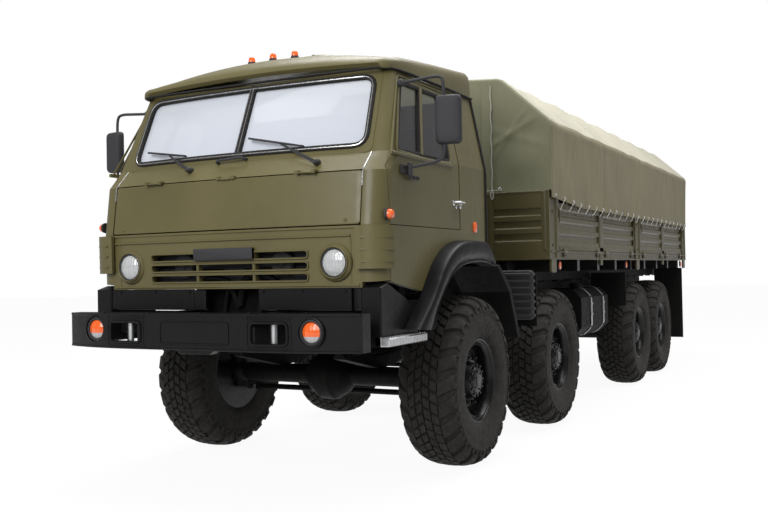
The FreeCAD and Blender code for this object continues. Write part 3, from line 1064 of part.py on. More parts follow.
# ------------------------------------------------------------------ cargo bed and tilt
def build_bed():
    """Floor and sills, front wall, drop sides with their posts, and the tailgate."""
    front = "axle_1_y + bed_front"
    rear = "axle_1_y + bed_rear"
    sill = "bed_floor - bed_sill"
    floor = block("BedFloor", ("-bed_half", "bed_half"), (front, rear), (sill, "bed_floor"))
    bearers = []
    for number in range(9):
        y = f"{front} + 300 + {number} * (bed_rear - bed_front - 700) / 8"
        bearers.append(block(f"Bearer{number}", ("-bed_half + 40", "bed_half - 40"), (y, f"{y} + 80"),
                             ("bed_floor - bed_sill - 110", sill)))
    runners = [block(f"Runner{i}", (x, f"{x} + 80"), (front, rear),
                     ("rail_low + rail_height", "bed_floor - bed_sill"))
               for i, x in enumerate(("rail_half_gap", "-rail_half_gap - 80"))]
    rim = "(board_thickness + plank_gap)"
    planks = block("Planks", (f"-bed_half + {rim}", f"bed_half - {rim}"),
                   (f"{front} + {rim}", f"{rear} - {rim}"), ("bed_floor - 5", "bed_floor + plank_height"))
    hinge_y = f"{rear} + 6"
    hinge_z = "bed_floor + running_clearance"
    lugs = []
    barrels = []
    recesses = []
    notches = []
    bores = []
    for label, x in (("Left", "800"), ("Middle", "0"), ("Right", "-800")):
        at = (0, hinge_y, hinge_z)
        barrels.append(rod(f"GateBarrel{label}", "x", at, "2 * hinge_pin", f"{x} - 40", f"{x} + 40"))
        recesses.append(rod(f"GateRecess{label}", "x", at, "2 * hinge_pin + seat_gap",
                            f"{x} - 40.3", f"{x} + 40.3"))
        bores.append(rod(f"GateBore{label}", "x", at, "hinge_pin + seat_gap", f"{x} - 45", f"{x} + 45"))
        lugs.append(rod(f"GatePin{label}", "x", at, "hinge_pin", f"{x} - 60", f"{x} + 60"))
        for side in (1, -1):
            ends = (f"{x} + {side} * 55 - 12", f"{x} + {side} * 55 + 12")
            past = (f"{x} + {side} * 55 - 17", f"{x} + {side} * 55 + 17")
            lugs.append(rod(f"GateLug{label}{side + 1}", "x", at, "2 * hinge_pin", *ends))
            lugs.append(block(f"GateFoot{label}{side + 1}", ends, (f"{rear} - 10", hinge_y),
                              ("bed_floor - 60", hinge_z)))
            notches.append(rod(f"GateNotch{label}{side + 1}", "x", at, "3 * hinge_pin", *past))
    deck = cut("CargoDeck", fuse("CargoSlab", [floor, planks] + bearers + runners), recesses)
    node("cargo_floor", fuse("CargoFloor", [deck] + lugs))
    walls = [block("FrontWall", ("-bed_half", "bed_half"), (front, f"{front} + board_thickness"),
                   ("bed_floor", "front_wall_top"))]
    grooves = []
    for label, side in (("Left", 1), ("Right", -1)):
        def span(low, high):
            return (low, high) if side > 0 else (f"-({high})", f"-({low})")
        outer = "bed_half"
        inner = "bed_half - board_thickness"
        posts = [("Front", f"{front} + board_thickness"), ("Middle", "axle_1_y + mid_post_y - post_width / 2"),
                 ("Rear", f"{rear} - board_thickness - post_width")]
        for name, y in posts:
            walls.append(block(f"Post{name}{label}", span(f"{inner} - 20", outer),
                               (y, f"{y} + post_width"), ("bed_floor", "post_top")))
        bays = [("Front", f"{front} + board_thickness + post_width", "axle_1_y + mid_post_y - post_width / 2"),
                ("Rear", "axle_1_y + mid_post_y + post_width / 2", f"{rear} - board_thickness - post_width")]
        for name, low, high in bays:
            walls.append(block(f"Board{name}{label}", span(inner, outer), (low, high),
                               ("bed_floor", "board_top")))
            middle = f"(({low}) + ({high})) / 2"
            for part, (near, far) in enumerate(((f"{low} + 60", f"{middle} - 75"),
                                                (f"{middle} + 75", f"{high} - 60"))):
                for row in range(3):
                    level = f"bed_floor + 85 + {row} * rib_pitch"
                    grooves.append(prism(f"Groove{name}{label}{part}{row}", "XZ", [
                        (f"{side} * ({outer} + 2)", level), (f"{side} * ({outer} + 2)", f"{level} + rib_width"),
                        (f"{side} * ({outer} - rib_depth)", f"{level} + rib_width - 16"),
                        (f"{side} * ({outer} - rib_depth)", f"{level} + 16")], near, far))
    for part, (near, far) in enumerate((("745", "1188"), ("-360", "360"), ("-1188", "-745"))):
        for row in range(3):
            level = f"bed_floor + 85 + {row} * rib_pitch"
            grooves.append(prism(f"GrooveFront{part}{row}", "YZ", [
                (f"{front} - 2", level), (f"{front} - 2", f"{level} + rib_width"),
                (f"{front} + rib_depth", f"{level} + rib_width - 16"),
                (f"{front} + rib_depth", f"{level} + 16")], near, far))
    node("cargo_walls", cut("CargoWallsRibbed", fuse("CargoWalls", walls), grooves))
    gate = block("TailgatePlate", ("-bed_half + 2", "bed_half - 2"),
                 (f"{rear} - board_thickness + running_clearance", rear),
                 ("bed_floor + running_clearance", "board_top"))
    gate_grooves = [prism(f"GrooveGate{part}{row}", "YZ", [
        (f"{rear} + 2", level), (f"{rear} + 2", f"{level} + rib_width"),
        (f"{rear} - rib_depth", f"{level} + rib_width - 16"), (f"{rear} - rib_depth", f"{level} + 16")],
        near, far)
        for part, (near, far) in enumerate((("-1150", "-80"), ("80", "1150")))
        for row, level in enumerate(f"bed_floor + 85 + {row} * rib_pitch" for row in range(3))]
    plate = cut("TailgatePressed", gate, gate_grooves + notches)
    node("tailgate", cut("Tailgate", fuse("TailgateLeaves", [plate] + barrels), bores))


def build_tilt():
    """The canvas over the bed: closed sides, top and front, and a rear curtain."""
    def section(inset, y, low):
        """A cross section of the tilt with a gently crowned top."""
        half = size("shoulder_half") - inset
        flat = size("ridge_half") - 0.6 * inset
        base = size("bed_half") + 28 - inset
        return outline_wire([
            (-base, low), (base, low), (half, size("shoulder_z")), (flat, size("ridge_z") - inset),
            ((0, size("crown_z") - inset), (-flat, size("ridge_z") - inset)),
            (-half, size("shoulder_z"))], lambda p: Vector(p[0], y, p[1]))

    front = AXLES[0] + size("canvas_front") - 20
    rear = AXLES[0] + size("canvas_rear")
    wall = size("canvas_wall")
    outer = Part.Face(section(0, front, size("hem_z"))).extrude(Vector(0, rear - front, 0))
    inner = Part.Face(section(wall, front + wall, size("hem_z") - 5)).extrude(
        Vector(0, rear - front - 2 * wall, 0))
    node("canvas_tilt", feature("CanvasTilt", outer.cut(inner)))


def build_spare():
    """The spare wheel upright behind the cab, in its carrier."""
    y = AXLES[0] + size("spare_y")
    centre = Vector(0, y, size("spare_z"))
    turn = FreeCAD.Rotation(Vector(0, 0, 1), 90)
    tyre = tyre_shape(0, 0, 0)
    rim = rim_shape(0, 0, 0, 1)
    for shape in (tyre, rim):
        shape.Placement = FreeCAD.Placement(centre, turn)
    node("spare_tyre", feature("SpareTyre", tyre))
    low = "rail_low + rail_height"
    half = "tyre_width / 2"
    y_term = "axle_1_y + spare_y"
    base = [block(f"CarrierFoot{i}", (x, f"{x} + 80"), (f"{y_term} - 260", f"{y_term} + 260"),
                  (low, "spare_z - wheel_radius - 2")) for i, x in enumerate((400, -480))]
    upright = (f"{y_term} - {half} - 60", f"{y_term} - {half} - seat_gap")
    base += [block(f"CarrierPost{i}", (f"{x}", f"{x} + 60"), upright, (low, "spare_z + 60"))
             for i, x in enumerate((410, -470))]
    base.append(block("CarrierBeam", (-470, 470), upright, ("spare_z - 60", "spare_z + 60")))
    base.append(block("CarrierTray", (-480, 480), (f"{y_term} - 260", f"{y_term} + 260"),
                      (low, f"{low} + 40")))
    base.append(rod("CarrierBolt", "y", (0, 0, "spare_z"), 60, f"{y_term} - {half} - 60",
                    f"{y_term} + rim_half_width - disc_inset"))
    frame = fuse("CarrierFrame", base)
    node("spare_carrier", fuse("SpareCarrier", [frame, feature("SpareRim", rim)]))


build_wheels()
build_axles()
build_steering()
build_frame()
build_bumper()
build_underbody()
build_cab()
build_roof()
build_cab_trim()
build_mirrors()
build_bed()
build_tilt()
build_spare()
doc.recompute()

# ------------------------------------------------------------------ checks and files
problems = []
for item in doc.Objects:
    if "Invalid" in item.State or "Error" in item.State:
        problems.append(f"{item.Name}: {item.State}")
for name, item in NODES:
    shape = item.Shape
    if shape.isNull() or not shape.isValid() or not shape.Solids:
        problems.append(f"{name}: its shape is not a valid solid")
if problems:
    raise RuntimeError("; ".join(problems))
os.makedirs("parts", exist_ok=True)
for name, item in NODES:
    item.Shape.exportStep(f"parts/{name}.step")
print(len(NODES), "sub-parts written")
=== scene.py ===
"""A military cargo truck, eight-wheeled and cab-over with a laced tilt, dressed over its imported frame.

Lengths are in metres. The front faces -y, the truck's left is +x and z is up from the ground.
"""

from __future__ import annotations

import logging
import math
from collections.abc import Iterable, Sequence
from dataclasses import dataclass, field
from enum import Enum

import bmesh
import bpy
import numpy as np
from mathutils import Matrix

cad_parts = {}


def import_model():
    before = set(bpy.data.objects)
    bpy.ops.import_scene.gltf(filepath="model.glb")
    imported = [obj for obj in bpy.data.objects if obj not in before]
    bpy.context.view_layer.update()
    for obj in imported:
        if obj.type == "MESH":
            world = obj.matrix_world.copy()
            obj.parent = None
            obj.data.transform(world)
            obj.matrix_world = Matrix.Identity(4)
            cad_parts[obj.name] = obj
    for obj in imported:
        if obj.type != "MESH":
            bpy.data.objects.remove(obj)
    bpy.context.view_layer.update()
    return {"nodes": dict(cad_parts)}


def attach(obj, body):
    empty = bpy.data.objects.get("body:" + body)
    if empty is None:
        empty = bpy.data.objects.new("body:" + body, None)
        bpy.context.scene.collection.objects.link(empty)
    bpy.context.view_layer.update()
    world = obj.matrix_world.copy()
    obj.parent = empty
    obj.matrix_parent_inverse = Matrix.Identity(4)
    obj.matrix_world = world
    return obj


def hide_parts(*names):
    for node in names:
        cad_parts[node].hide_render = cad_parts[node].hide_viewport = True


Array = np.ndarray
LOG = logging.getLogger("cargo_truck")
AXLES = (-3.34, -1.40, 1.84, 3.16)
HUB_Z = 0.615


class Side(Enum):
    """A side of the truck, with the sign of its x."""

    LEFT = 1
    RIGHT = -1

    @property
    def word(self) -> str:
        """The side's name as the frame spells it."""
        return self.name.lower()


class Plane(Enum):
    """The plane of an outline, and the axis that it is carried along, as column numbers."""

    FRONT = (0, 2, 1)
    PLAN = (0, 1, 2)
    FLANK = (1, 2, 0)


def rounded(points: Sequence[Sequence[float]] | Array, radius: float, steps: int = 4,
            closed: bool = True) -> Array:
    """Rounds the corners of a chain of points.

    Each corner becomes a quadratic curve, (1-t)^2 a + 2t(1-t) p + t^2 b, where a and b lie on the
    two legs at the radius, or at half a leg where that is shorter.

    Args:
        points: The corners, in two or three dimensions.
        radius: How far along each leg the curve starts.
        steps: How many pieces a curve has.
        closed: Whether the last point joins the first.

    Returns:
        The rounded chain as an array of points.
    """
    corners = np.asarray(points, float)
    before, after = np.roll(corners, 1, 0) - corners, np.roll(corners, -1, 0) - corners
    legs = [np.linalg.norm(leg, axis=1, keepdims=True) for leg in (before, after)]
    cut = [np.minimum(radius, 0.499 * leg) / np.maximum(leg, 1e-9) for leg in legs]
    start, end = corners + before * cut[0], corners + after * cut[1]
    t = np.linspace(0, 1, steps + 1)[None, :, None]
    curve = (1 - t) ** 2 * start[:, None] + 2 * t * (1 - t) * corners[:, None] + t ** 2 * end[:, None]
    if closed:
        return curve.reshape(-1, corners.shape[1])
    inner = curve[1:-1].reshape(-1, corners.shape[1])
    return np.concatenate([corners[:1], inner, corners[-1:]])


def ring(radius: float, sides: int) -> Array:
    """A regular outline of points at r (cos a, sin a), for a through one turn."""
    angle = np.linspace(0, 2 * np.pi, sides, endpoint=False)
    return radius * np.stack([np.cos(angle), np.sin(angle)], 1)


def inset(outline: Array, amount: float) -> Array:
    """Moves an outline inwards, each point along the mean of its two edges' normals.

    Args:
        outline: A closed outline in two dimensions, in either sense.
        amount: How far it moves.

    Returns:
        The moved outline.
    """
    edge = np.roll(outline, -1, 0) - outline
    edge = edge / np.maximum(np.linalg.norm(edge, axis=1, keepdims=True), 1e-9)
    normal = np.stack([-edge[:, 1], edge[:, 0]], 1)
    mean = normal + np.roll(normal, 1, 0)
    mean = mean / np.maximum((mean ** 2).sum(1, keepdims=True), 0.5) * 2
    x, y = outline.T
    sense = np.sign((x * np.roll(y, -1) - y * np.roll(x, -1)).sum())
    return outline + sense * amount * mean


def along(path: Array, profile: Array, up: Sequence[float]) -> Array:
    """Carries a profile along a path.

    Each ring is p + u N + v B, where N is the tangent crossed with the up direction and B is N
    crossed with the tangent.

    Args:
        path: Points in three dimensions.
        profile: The outline's (u, v) points.
        up: A direction that the path never follows.

    Returns:
        The rings, as path by profile by three.
    """
    tangent = np.gradient(path, axis=0)
    tangent /= np.maximum(np.linalg.norm(tangent, axis=1, keepdims=True), 1e-9)
    across = np.cross(tangent, np.asarray(up, float))
    across /= np.maximum(np.linalg.norm(across, axis=1, keepdims=True), 1e-9)
    upward = np.cross(across, tangent)
    u, v = profile[:, 0], profile[:, 1]
    return path[:, None] + u[None, :, None] * across[:, None] + v[None, :, None] * upward[:, None]


def placed(outline: Array, plane: Plane, level: float | Array) -> Array:
    """Puts a flat outline into space, at a level on the plane's own axis."""
    points = np.zeros((len(outline), 3))
    first, second, axis = plane.value
    points[:, first], points[:, second], points[:, axis] = outline[:, 0], outline[:, 1], level
    return points


def bars(low: float, high: float, count: int) -> Array:
    """Evenly spaced values, both ends included."""
    return np.linspace(low, high, count)


@dataclass
class Shell:
    """Collects surfaces as points and faces, and joins them into one piece."""

    name: str
    points: list[Array] = field(default_factory=list)
    faces: list[list[int]] = field(default_factory=list)
    coats: list[int] = field(default_factory=list)
    spots: list[Array] = field(default_factory=list)
    count: int = 0

    def add(self, points: Array, faces: Array, coat: int = 0, spots: Array | None = None) -> None:
        """Adds points and the faces among them.

        Args:
            points: The points, by three.
            faces: Their numbers, by three or four.
            coat: The number of the finish.
            spots: Each point's place on a flat pattern, by two.
        """
        self.points.append(points.reshape(-1, 3))
        self.spots.append(np.zeros((len(points.reshape(-1, 3)), 2)) if spots is None else spots)
        self.faces += (faces + self.count).tolist()
        self.coats += [coat] * len(faces)
        self.count += len(self.points[-1])

    def grid(self, points: Array, coat: int = 0, wrap: bool = False, spots: Array | None = None) -> None:
        """Adds a surface given on a grid, where row r and column c meet their next ones.

        Args:
            points: Rows by columns by three.
            coat: The number of the finish.
            wrap: Whether the last column joins the first.
            spots: Rows by columns by two, places on a flat pattern.
        """
        rows, columns = points.shape[:2]
        number = np.arange(rows * columns).reshape(rows, columns)
        if wrap:
            number = np.concatenate([number, number[:, :1]], 1)
        quads = np.stack([number[:-1, :-1], number[:-1, 1:], number[1:, 1:], number[1:, :-1]], -1)
        flat = None if spots is None else spots.reshape(-1, 2)
        self.add(points, quads.reshape(-1, 4), coat, flat)

    def loft(self, rings: Array, coat: int = 0, ends: bool = True) -> None:
        """Adds a closed surface through rings, each end closed by triangles to its middle."""
        self.grid(rings, coat, wrap=True)
        for edge in (rings[0], rings[-1]) if ends else ():
            size = len(edge)
            number = np.arange(size)
            fan = np.stack([number, (number + 1) % size, np.full(size, size)], 1)
            self.add(np.concatenate([edge, edge.mean(0, keepdims=True)]), fan, coat)

    def slab(self, outline: Array, plane: Plane, low: float, high: float, edge: float = 0.0,
             coat: int = 0) -> None:
        """Adds an outline carried from one level to another, with its rims cut back by the edge."""
        edge = min(edge, 0.45 * abs(high - low))
        small = inset(outline, edge) if edge else outline
        levels = [(small, low), (outline, low + edge), (outline, high - edge), (small, high)]
        self.loft(np.stack([placed(shape, plane, level) for shape, level in levels]), coat)

    def box(self, low: Sequence[float], high: Sequence[float], edge: float = 0.004, coat: int = 0) -> None:
        """Adds a block with rounded upright corners and cut rims."""
        (x0, y0, z0), (x1, y1, z1) = low, high
        corners = rounded([(x0, y0), (x1, y0), (x1, y1), (x0, y1)], edge, 2)
        self.slab(corners, Plane.PLAN, z0, z1, edge, coat)

    def boxes(self, lows: Array, highs: Array, coat: int = 0) -> None:
        """Adds many plain blocks at once, from arrays of their low and high corners."""
        pick = np.array([[(n >> axis) & 1 for axis in range(3)] for n in range(8)])
        points = np.where(pick[None], highs[:, None], lows[:, None])
        quads = np.array([(0, 2, 3, 1), (4, 5, 7, 6), (0, 1, 5, 4), (2, 6, 7, 3), (0, 4, 6, 2), (1, 3, 7, 5)])
        faces = quads[None] + 8 * np.arange(len(lows))[:, None, None]
        self.add(points, faces.reshape(-1, 4), coat)

    def tube(self, path: Sequence[Sequence[float]] | Array, radius: float, up: Sequence[float] = (0, 0, 1),
             sides: int = 10) -> None:
        """Adds a round bar along a path."""
        self.loft(along(np.asarray(path, float), ring(radius, sides), up))

    def hoop(self, path: Array, profile: Array, up: Sequence[float]) -> None:
        """Carries a profile round a closed path."""
        rings = along(np.concatenate([path[-2:], path, path[:2]]), profile, up)[2:-2]
        self.grid(np.concatenate([rings, rings[:1]]), wrap=True)

    def strip(self, path: Array, profile: Array, up: Sequence[float]) -> None:
        """Carries a profile along an open path and closes its ends."""
        self.loft(along(np.asarray(path, float), profile, up))

    def collar(self, loops: Sequence[Array]) -> None:
        """Joins loops of equal count into a closed ring-shaped surface, the last to the first."""
        self.grid(np.stack([*loops, loops[0]]), wrap=True)

    def turn(self, profile: Sequence[Sequence[float]] | Array, centre: Sequence[float],
             axis: Sequence[float] = (1, 0, 0), sides: int = 24, coat: int = 0, ends: bool = True) -> None:
        """Adds a turned form: each (a, r) of the profile is a circle of radius r at a along the axis.

        Args:
            profile: Distances along the axis and radii.
            centre: Where the axis starts.
            axis: The direction of the axis.
            sides: How many points a circle has.
            coat: The number of the finish.
            ends: Whether both ends are closed.
        """
        rows = np.asarray(profile, float)
        line = np.asarray(axis, float) / np.linalg.norm(axis)
        first = np.cross(line, (0, 0, 1) if abs(line[2]) < 0.9 else (1, 0, 0))
        first /= np.linalg.norm(first)
        circle = ring(1.0, sides)
        spokes = circle[:, :1] * first + circle[:, 1:] * np.cross(line, first)
        rings = np.asarray(centre) + rows[:, 0, None, None] * line + rows[:, 1, None, None] * spokes[None]
        self.loft(rings, coat, ends)

    def mirror(self) -> "Shell":
        """Adds the same surfaces again on the truck's other side."""
        count = self.count
        mirrored = [points * (-1, 1, 1) for points in self.points]
        self.faces += [[n + count for n in face[::-1]] for face in self.faces]
        self.coats += self.coats
        self.spots += self.spots
        self.points += mirrored
        self.count *= 2
        return self

    def piece(self, body: str, *finishes: "Finish", stands_for: Iterable[str] = (), smooth: float = 35,
              closed: bool = True) -> bpy.types.Object:
        """Joins all into one object that rides a body of the frame.

        Args:
            body: The body's name.
            finishes: The finishes, in the order of the coats.
            stands_for: The frame's nodes that the piece stands for.
            smooth: The angle, in degrees, past which an edge stays sharp.
            closed: Whether the faces are turned to point outwards.

        Returns:
            The new object.
        """
        mesh = bpy.data.meshes.new(self.name)
        mesh.from_pydata(np.concatenate(self.points).tolist(), [], self.faces)
        mesh.polygons.foreach_set("material_index", self.coats)
        loops = np.zeros(len(mesh.loops), np.int32)
        mesh.loops.foreach_get("vertex_index", loops)
        layer = mesh.uv_layers.new(name="UVMap")
        layer.data.foreach_set("uv", np.concatenate(self.spots)[loops].astype(np.float32).ravel())
        work = bmesh.new()
        work.from_mesh(mesh)
        bmesh.ops.remove_doubles(work, verts=work.verts, dist=1e-6)
        bmesh.ops.dissolve_degenerate(work, edges=work.edges, dist=1e-7)
        if closed:
            bmesh.ops.recalc_face_normals(work, faces=work.faces)
        work.to_mesh(mesh)
        work.free()
        mesh.polygons.foreach_set("use_smooth", np.ones(len(mesh.polygons), bool))
        mesh.set_sharp_from_angle(angle=math.radians(smooth))
        made = bpy.data.objects.new(self.name, mesh)
        bpy.context.scene.collection.objects.link(made)
        for finish in finishes:
            mesh.materials.append(finish.material())
        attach(made, body)
        if stands_for:
            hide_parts(*stands_for)
        LOG.info("%s: %d faces on %s", self.name, len(mesh.polygons), body)
        return made


@dataclass
class Graph:
    """One material's nodes, made in short calls."""

    name: str

    def __post_init__(self) -> None:
        """Makes the material with an empty node tree."""
        self.made = bpy.data.materials.new(self.name)
        self.made.use_nodes = True
        self.tree = self.made.node_tree
        self.tree.nodes.clear()

    def node(self, kind: str, inputs: dict[str | int, object] | None = None,
             **settings: object) -> bpy.types.Node:
        """Adds a node.

        Args:
            kind: The node's type without its prefix.
            inputs: Values or other nodes' outputs for its sockets.
            **settings: Properties of the node.

        Returns:
            The new node.
        """
        made = self.tree.nodes.new("ShaderNode" + kind)
        for key, value in settings.items():
            setattr(made, key, value)
        for key, value in (inputs or {}).items():
            if isinstance(value, bpy.types.NodeSocket):
                self.tree.links.new(value, made.inputs[key])
            else:
                made.inputs[key].default_value = value
        return made

    def noise(self, scale: float, detail: float = 3, stretch: tuple[float, float, float] = (1, 1, 1),
              rough: float = 0.5) -> bpy.types.NodeSocket:
        """Gives noise from 0 to 1 at a scale per metre, drawn out along the axes."""
        place = self.node("TexCoord").outputs["Object"]
        moved = self.node("Mapping", {"Vector": place, "Scale": stretch}).outputs[0]
        kind = self.node("TexNoise", {"Vector": moved, "Scale": scale, "Detail": detail, "Roughness": rough})
        return kind.outputs["Fac"]

    def ramp(self, value: bpy.types.NodeSocket, low: float, high: float, to: tuple[float, float] = (0, 1),
             ) -> bpy.types.NodeSocket:
        """Turns the range from low to high into another, held at its ends."""
        return self.node("MapRange", {"Value": value, "From Min": low, "From Max": high, "To Min": to[0],
                                      "To Max": to[1]}).outputs["Result"]

    def sums(self, kind: str, first: object, second: object) -> bpy.types.NodeSocket:
        """Gives a sum, product or other result of two values."""
        return self.node("Math", {0: first, 1: second}, operation=kind).outputs[0]

    def mix(self, share: object, first: object, second: object) -> bpy.types.NodeSocket:
        """Mixes two colours by a share."""
        made = self.node("Mix", data_type="RGBA")
        for number, value in ((0, share), (6, first), (7, second)):
            if isinstance(value, bpy.types.NodeSocket):
                self.tree.links.new(value, made.inputs[number])
            else:
                made.inputs[number].default_value = value if number == 0 else (*value, 1)[:4]
        return made.outputs[2]

    def bump(self, height: bpy.types.NodeSocket, depth: float, under: bpy.types.NodeSocket | None = None,
             ) -> bpy.types.NodeSocket:
        """Raises the surface by a height of 0 to 1 times a depth in metres."""
        inputs: dict[str | int, object] = {"Height": height, "Distance": depth, "Strength": 1.0}
        if under is not None:
            inputs["Normal"] = under
        return self.node("Bump", inputs).outputs[0]

    def shade(self, **inputs: object) -> bpy.types.Material:
        """Ends the tree with the main shader, whose sockets are named with _ for a space."""
        named = {key.replace("_", " "): value for key, value in inputs.items()}
        shader = self.node("BsdfPrincipled", named)
        self.node("OutputMaterial", {"Surface": shader.outputs[0]})
        return self.made


@dataclass(frozen=True)
class Finish:
    """A finish of the truck, made once and shared by its pieces."""

    name: str
    slot: str
    colour: tuple[float, float, float]

    def material(self) -> bpy.types.Material:
        """Gives the finish's material, making it the first time."""
        known = bpy.data.materials.get(self.name)
        return known if known else self.make(Graph(self.name))

    def make(self, graph: Graph) -> bpy.types.Material:
        """Makes the material."""
        return graph.shade(Base_Color=(*self.colour, 1))

    def tint(self, share: float) -> tuple[float, float, float]:
        """Gives the colour made lighter or darker by a share."""
        return tuple(min(1.0, part * share) for part in self.colour)


@dataclass(frozen=True)
class Paint(Finish):
    """Sprayed paint with a faint ripple, patches of fading, dust that gathers low down and, where set,
    painted shade that turns it near black below a level.
    """

    gloss: float = 0.42
    dust: tuple[float, float, float] = (0.16, 0.14, 0.10)
    dust_share: float = 0.22
    dust_top: float = 1.7
    ripple: float = 0.00035
    coat: float = 0.15
    shine: float = 0.4
    # painted shade: when set, the colour below this level turns to the dark colour under it
    painted_shade_below: float = 0.0
    dark: tuple[float, float, float] = (0.005, 0.005, 0.005)

    def make(self, graph: Graph) -> bpy.types.Material:
        """Mixes two noises into the colour, dust by height into that, painted shade below a level where set,
        and bumps a fine ripple.
        """
        fade = graph.ramp(graph.noise(1.7, 4), 0.3, 0.75)
        colour = graph.mix(fade, self.tint(0.9), self.tint(1.1))
        streak = graph.ramp(graph.noise(9, 5, (3, 3, 0.35)), 0.42, 0.8)
        height = graph.node("SeparateXYZ", {0: graph.node("TexCoord").outputs["Object"]}).outputs[2]
        low = graph.ramp(height, self.dust_top, 0.5, (0.06, 1))
        share = graph.sums("MULTIPLY", graph.sums("MULTIPLY", streak, low), self.dust_share)
        colour = graph.mix(share, colour, self.dust)
        # painted shade: below the level the colour turns near black
        if self.painted_shade_below:
            share = graph.ramp(height, self.painted_shade_below, self.painted_shade_below + 0.003)
            colour = graph.mix(share, self.dark, colour)
        fine = graph.noise(160, 2)
        dull = graph.ramp(graph.noise(23, 4), 0.3, 0.7, (self.gloss - 0.06, self.gloss + 0.09))
        normal = graph.bump(fine, self.ripple * 0.2, graph.bump(graph.noise(5, 2), self.ripple * 6))
        return graph.shade(Base_Color=colour, Roughness=dull, Normal=normal, Coat_Weight=self.coat,
                           Coat_Roughness=0.25, Specular_IOR_Level=self.shine)


@dataclass(frozen=True)
class Rubber(Finish):
    """Tyre rubber: near black, with dust caught between the lugs and fine pores."""

    dust: tuple[float, float, float] = (0.13, 0.115, 0.095)
    dust_share: float = 0.4

    def make(self, graph: Graph) -> bpy.types.Material:
        """Mixes dust in by patches and bumps pores at two scales."""
        patches = graph.ramp(graph.noise(11, 6, rough=0.65), 0.4, 0.8, (0.08, self.dust_share))
        colour = graph.mix(patches, self.colour, self.dust)
        normal = graph.bump(graph.noise(420, 2), 0.0007, graph.bump(graph.noise(60, 4), 0.0016))
        dull = graph.ramp(graph.noise(30, 3), 0.3, 0.7, (0.72, 0.95))
        return graph.shade(Base_Color=colour, Roughness=dull, Normal=normal, Specular_IOR_Level=0.3)


@dataclass(frozen=True)
class Cloth(Finish):
    """Woven cloth: threads crossing on the piece's own pattern, patches of fading and small creases."""

    thread: float = 0.004
    sheen: float = 0.25
    crease: float = 0.004
    rough: float = 0.72

    def make(self, graph: Graph) -> bpy.types.Material:
        """Crosses two sets of thread waves, and lays creases and fading under them."""
        place = graph.node("TexCoord").outputs["UV"]
        waves = [graph.node("TexWave", {"Vector": place, "Scale": 1 / self.thread / 6.3, "Distortion": 1.2,
                                        "Detail": 1, "Detail Scale": 2.0}, bands_direction=way).outputs["Fac"]
                 for way in ("X", "Y")]
        weave = graph.sums("MULTIPLY", waves[0], waves[1])
        fade = graph.ramp(graph.noise(1.3, 5, rough=0.6), 0.3, 0.75)
        stain = graph.ramp(graph.noise(6, 5, (1, 1, 0.3)), 0.45, 0.85, (0, 0.35))
        colour = graph.mix(fade, self.tint(0.86), self.tint(1.12))
        colour = graph.mix(stain, colour, self.tint(0.62))
        creases = graph.noise(7, 5, (1, 1, 0.6), rough=0.55)
        normal = graph.bump(weave, self.thread * 0.10, graph.bump(creases, self.crease))
        return graph.shade(Base_Color=colour, Roughness=self.rough, Normal=normal, Sheen_Weight=self.sheen,
                           Sheen_Roughness=0.5, Specular_IOR_Level=0.35)


@dataclass(frozen=True)
class Plain(Finish):
    """Moulded plastic or worked metal with a fine grain and a few smudges."""

    gloss: float = 0.4
    metal: float = 0.0
    grain: float = 0.0002
    scale: float = 300
    emission: float = 0.0

    def make(self, graph: Graph) -> bpy.types.Material:
        """Bumps a grain and varies the colour and gloss a little."""
        smudge = graph.ramp(graph.noise(14, 4), 0.35, 0.75)
        colour = graph.mix(smudge, self.tint(0.88), self.tint(1.1))
        dull = graph.ramp(graph.noise(40, 3), 0.3, 0.7, (self.gloss - 0.05, self.gloss + 0.08))
        return graph.shade(Base_Color=colour, Roughness=dull, Metallic=self.metal,
                           Normal=graph.bump(graph.noise(self.scale, 2), self.grain),
                           Emission_Color=(*self.colour, 1), Emission_Strength=self.emission)


@dataclass(frozen=True)
class Pane(Finish):
    """Flat glass whose colour holds a painted reflection of a pale sky, and which lets a part of the inside
    show.
    """

    clear: float = 0.45
    painted_reflection: tuple[float, float, float] = (0.75, 0.79, 0.87)

    def make(self, graph: Graph) -> bpy.types.Material:
        """Grades the colour by height towards the painted sky reflection at the top, and lets light through
        evenly.
        """
        height = graph.node("SeparateXYZ", {0: graph.node("TexCoord").outputs["Object"]}).outputs[2]
        share = graph.ramp(graph.sums("ADD", height, graph.sums("MULTIPLY", graph.noise(2.2, 4), 0.25)), 2.2,
                           2.95)
        colour = graph.mix(share, self.colour, self.painted_reflection)
        return graph.shade(Base_Color=colour, Roughness=0.03, Alpha=1 - self.clear, Coat_Weight=1.0,
                           Coat_Roughness=0.02, Specular_IOR_Level=0.6)


@dataclass(frozen=True)
class Lens(Finish):
    """A lamp's ribbed lens."""

    ribs: float = 90
    clear: float = 0.35
    glow: float = 0.0

    def make(self, graph: Graph) -> bpy.types.Material:
        """Bumps upright ribs over a bright ground."""
        place = graph.node("TexCoord").outputs["Object"]
        wave = graph.node("TexWave", {"Vector": place, "Scale": self.ribs / 6.3, "Distortion": 0.2},
                          bands_direction="X").outputs["Fac"]
        colour = graph.mix(graph.ramp(wave, 0, 1, (0, 0.25)), self.colour, self.tint(0.55))
        return graph.shade(Base_Color=colour, Roughness=0.08, Normal=graph.bump(wave, 0.0012),
                           Transmission_Weight=self.clear, Coat_Weight=0.6, Emission_Color=(*self.colour, 1),
                           Emission_Strength=self.glow)


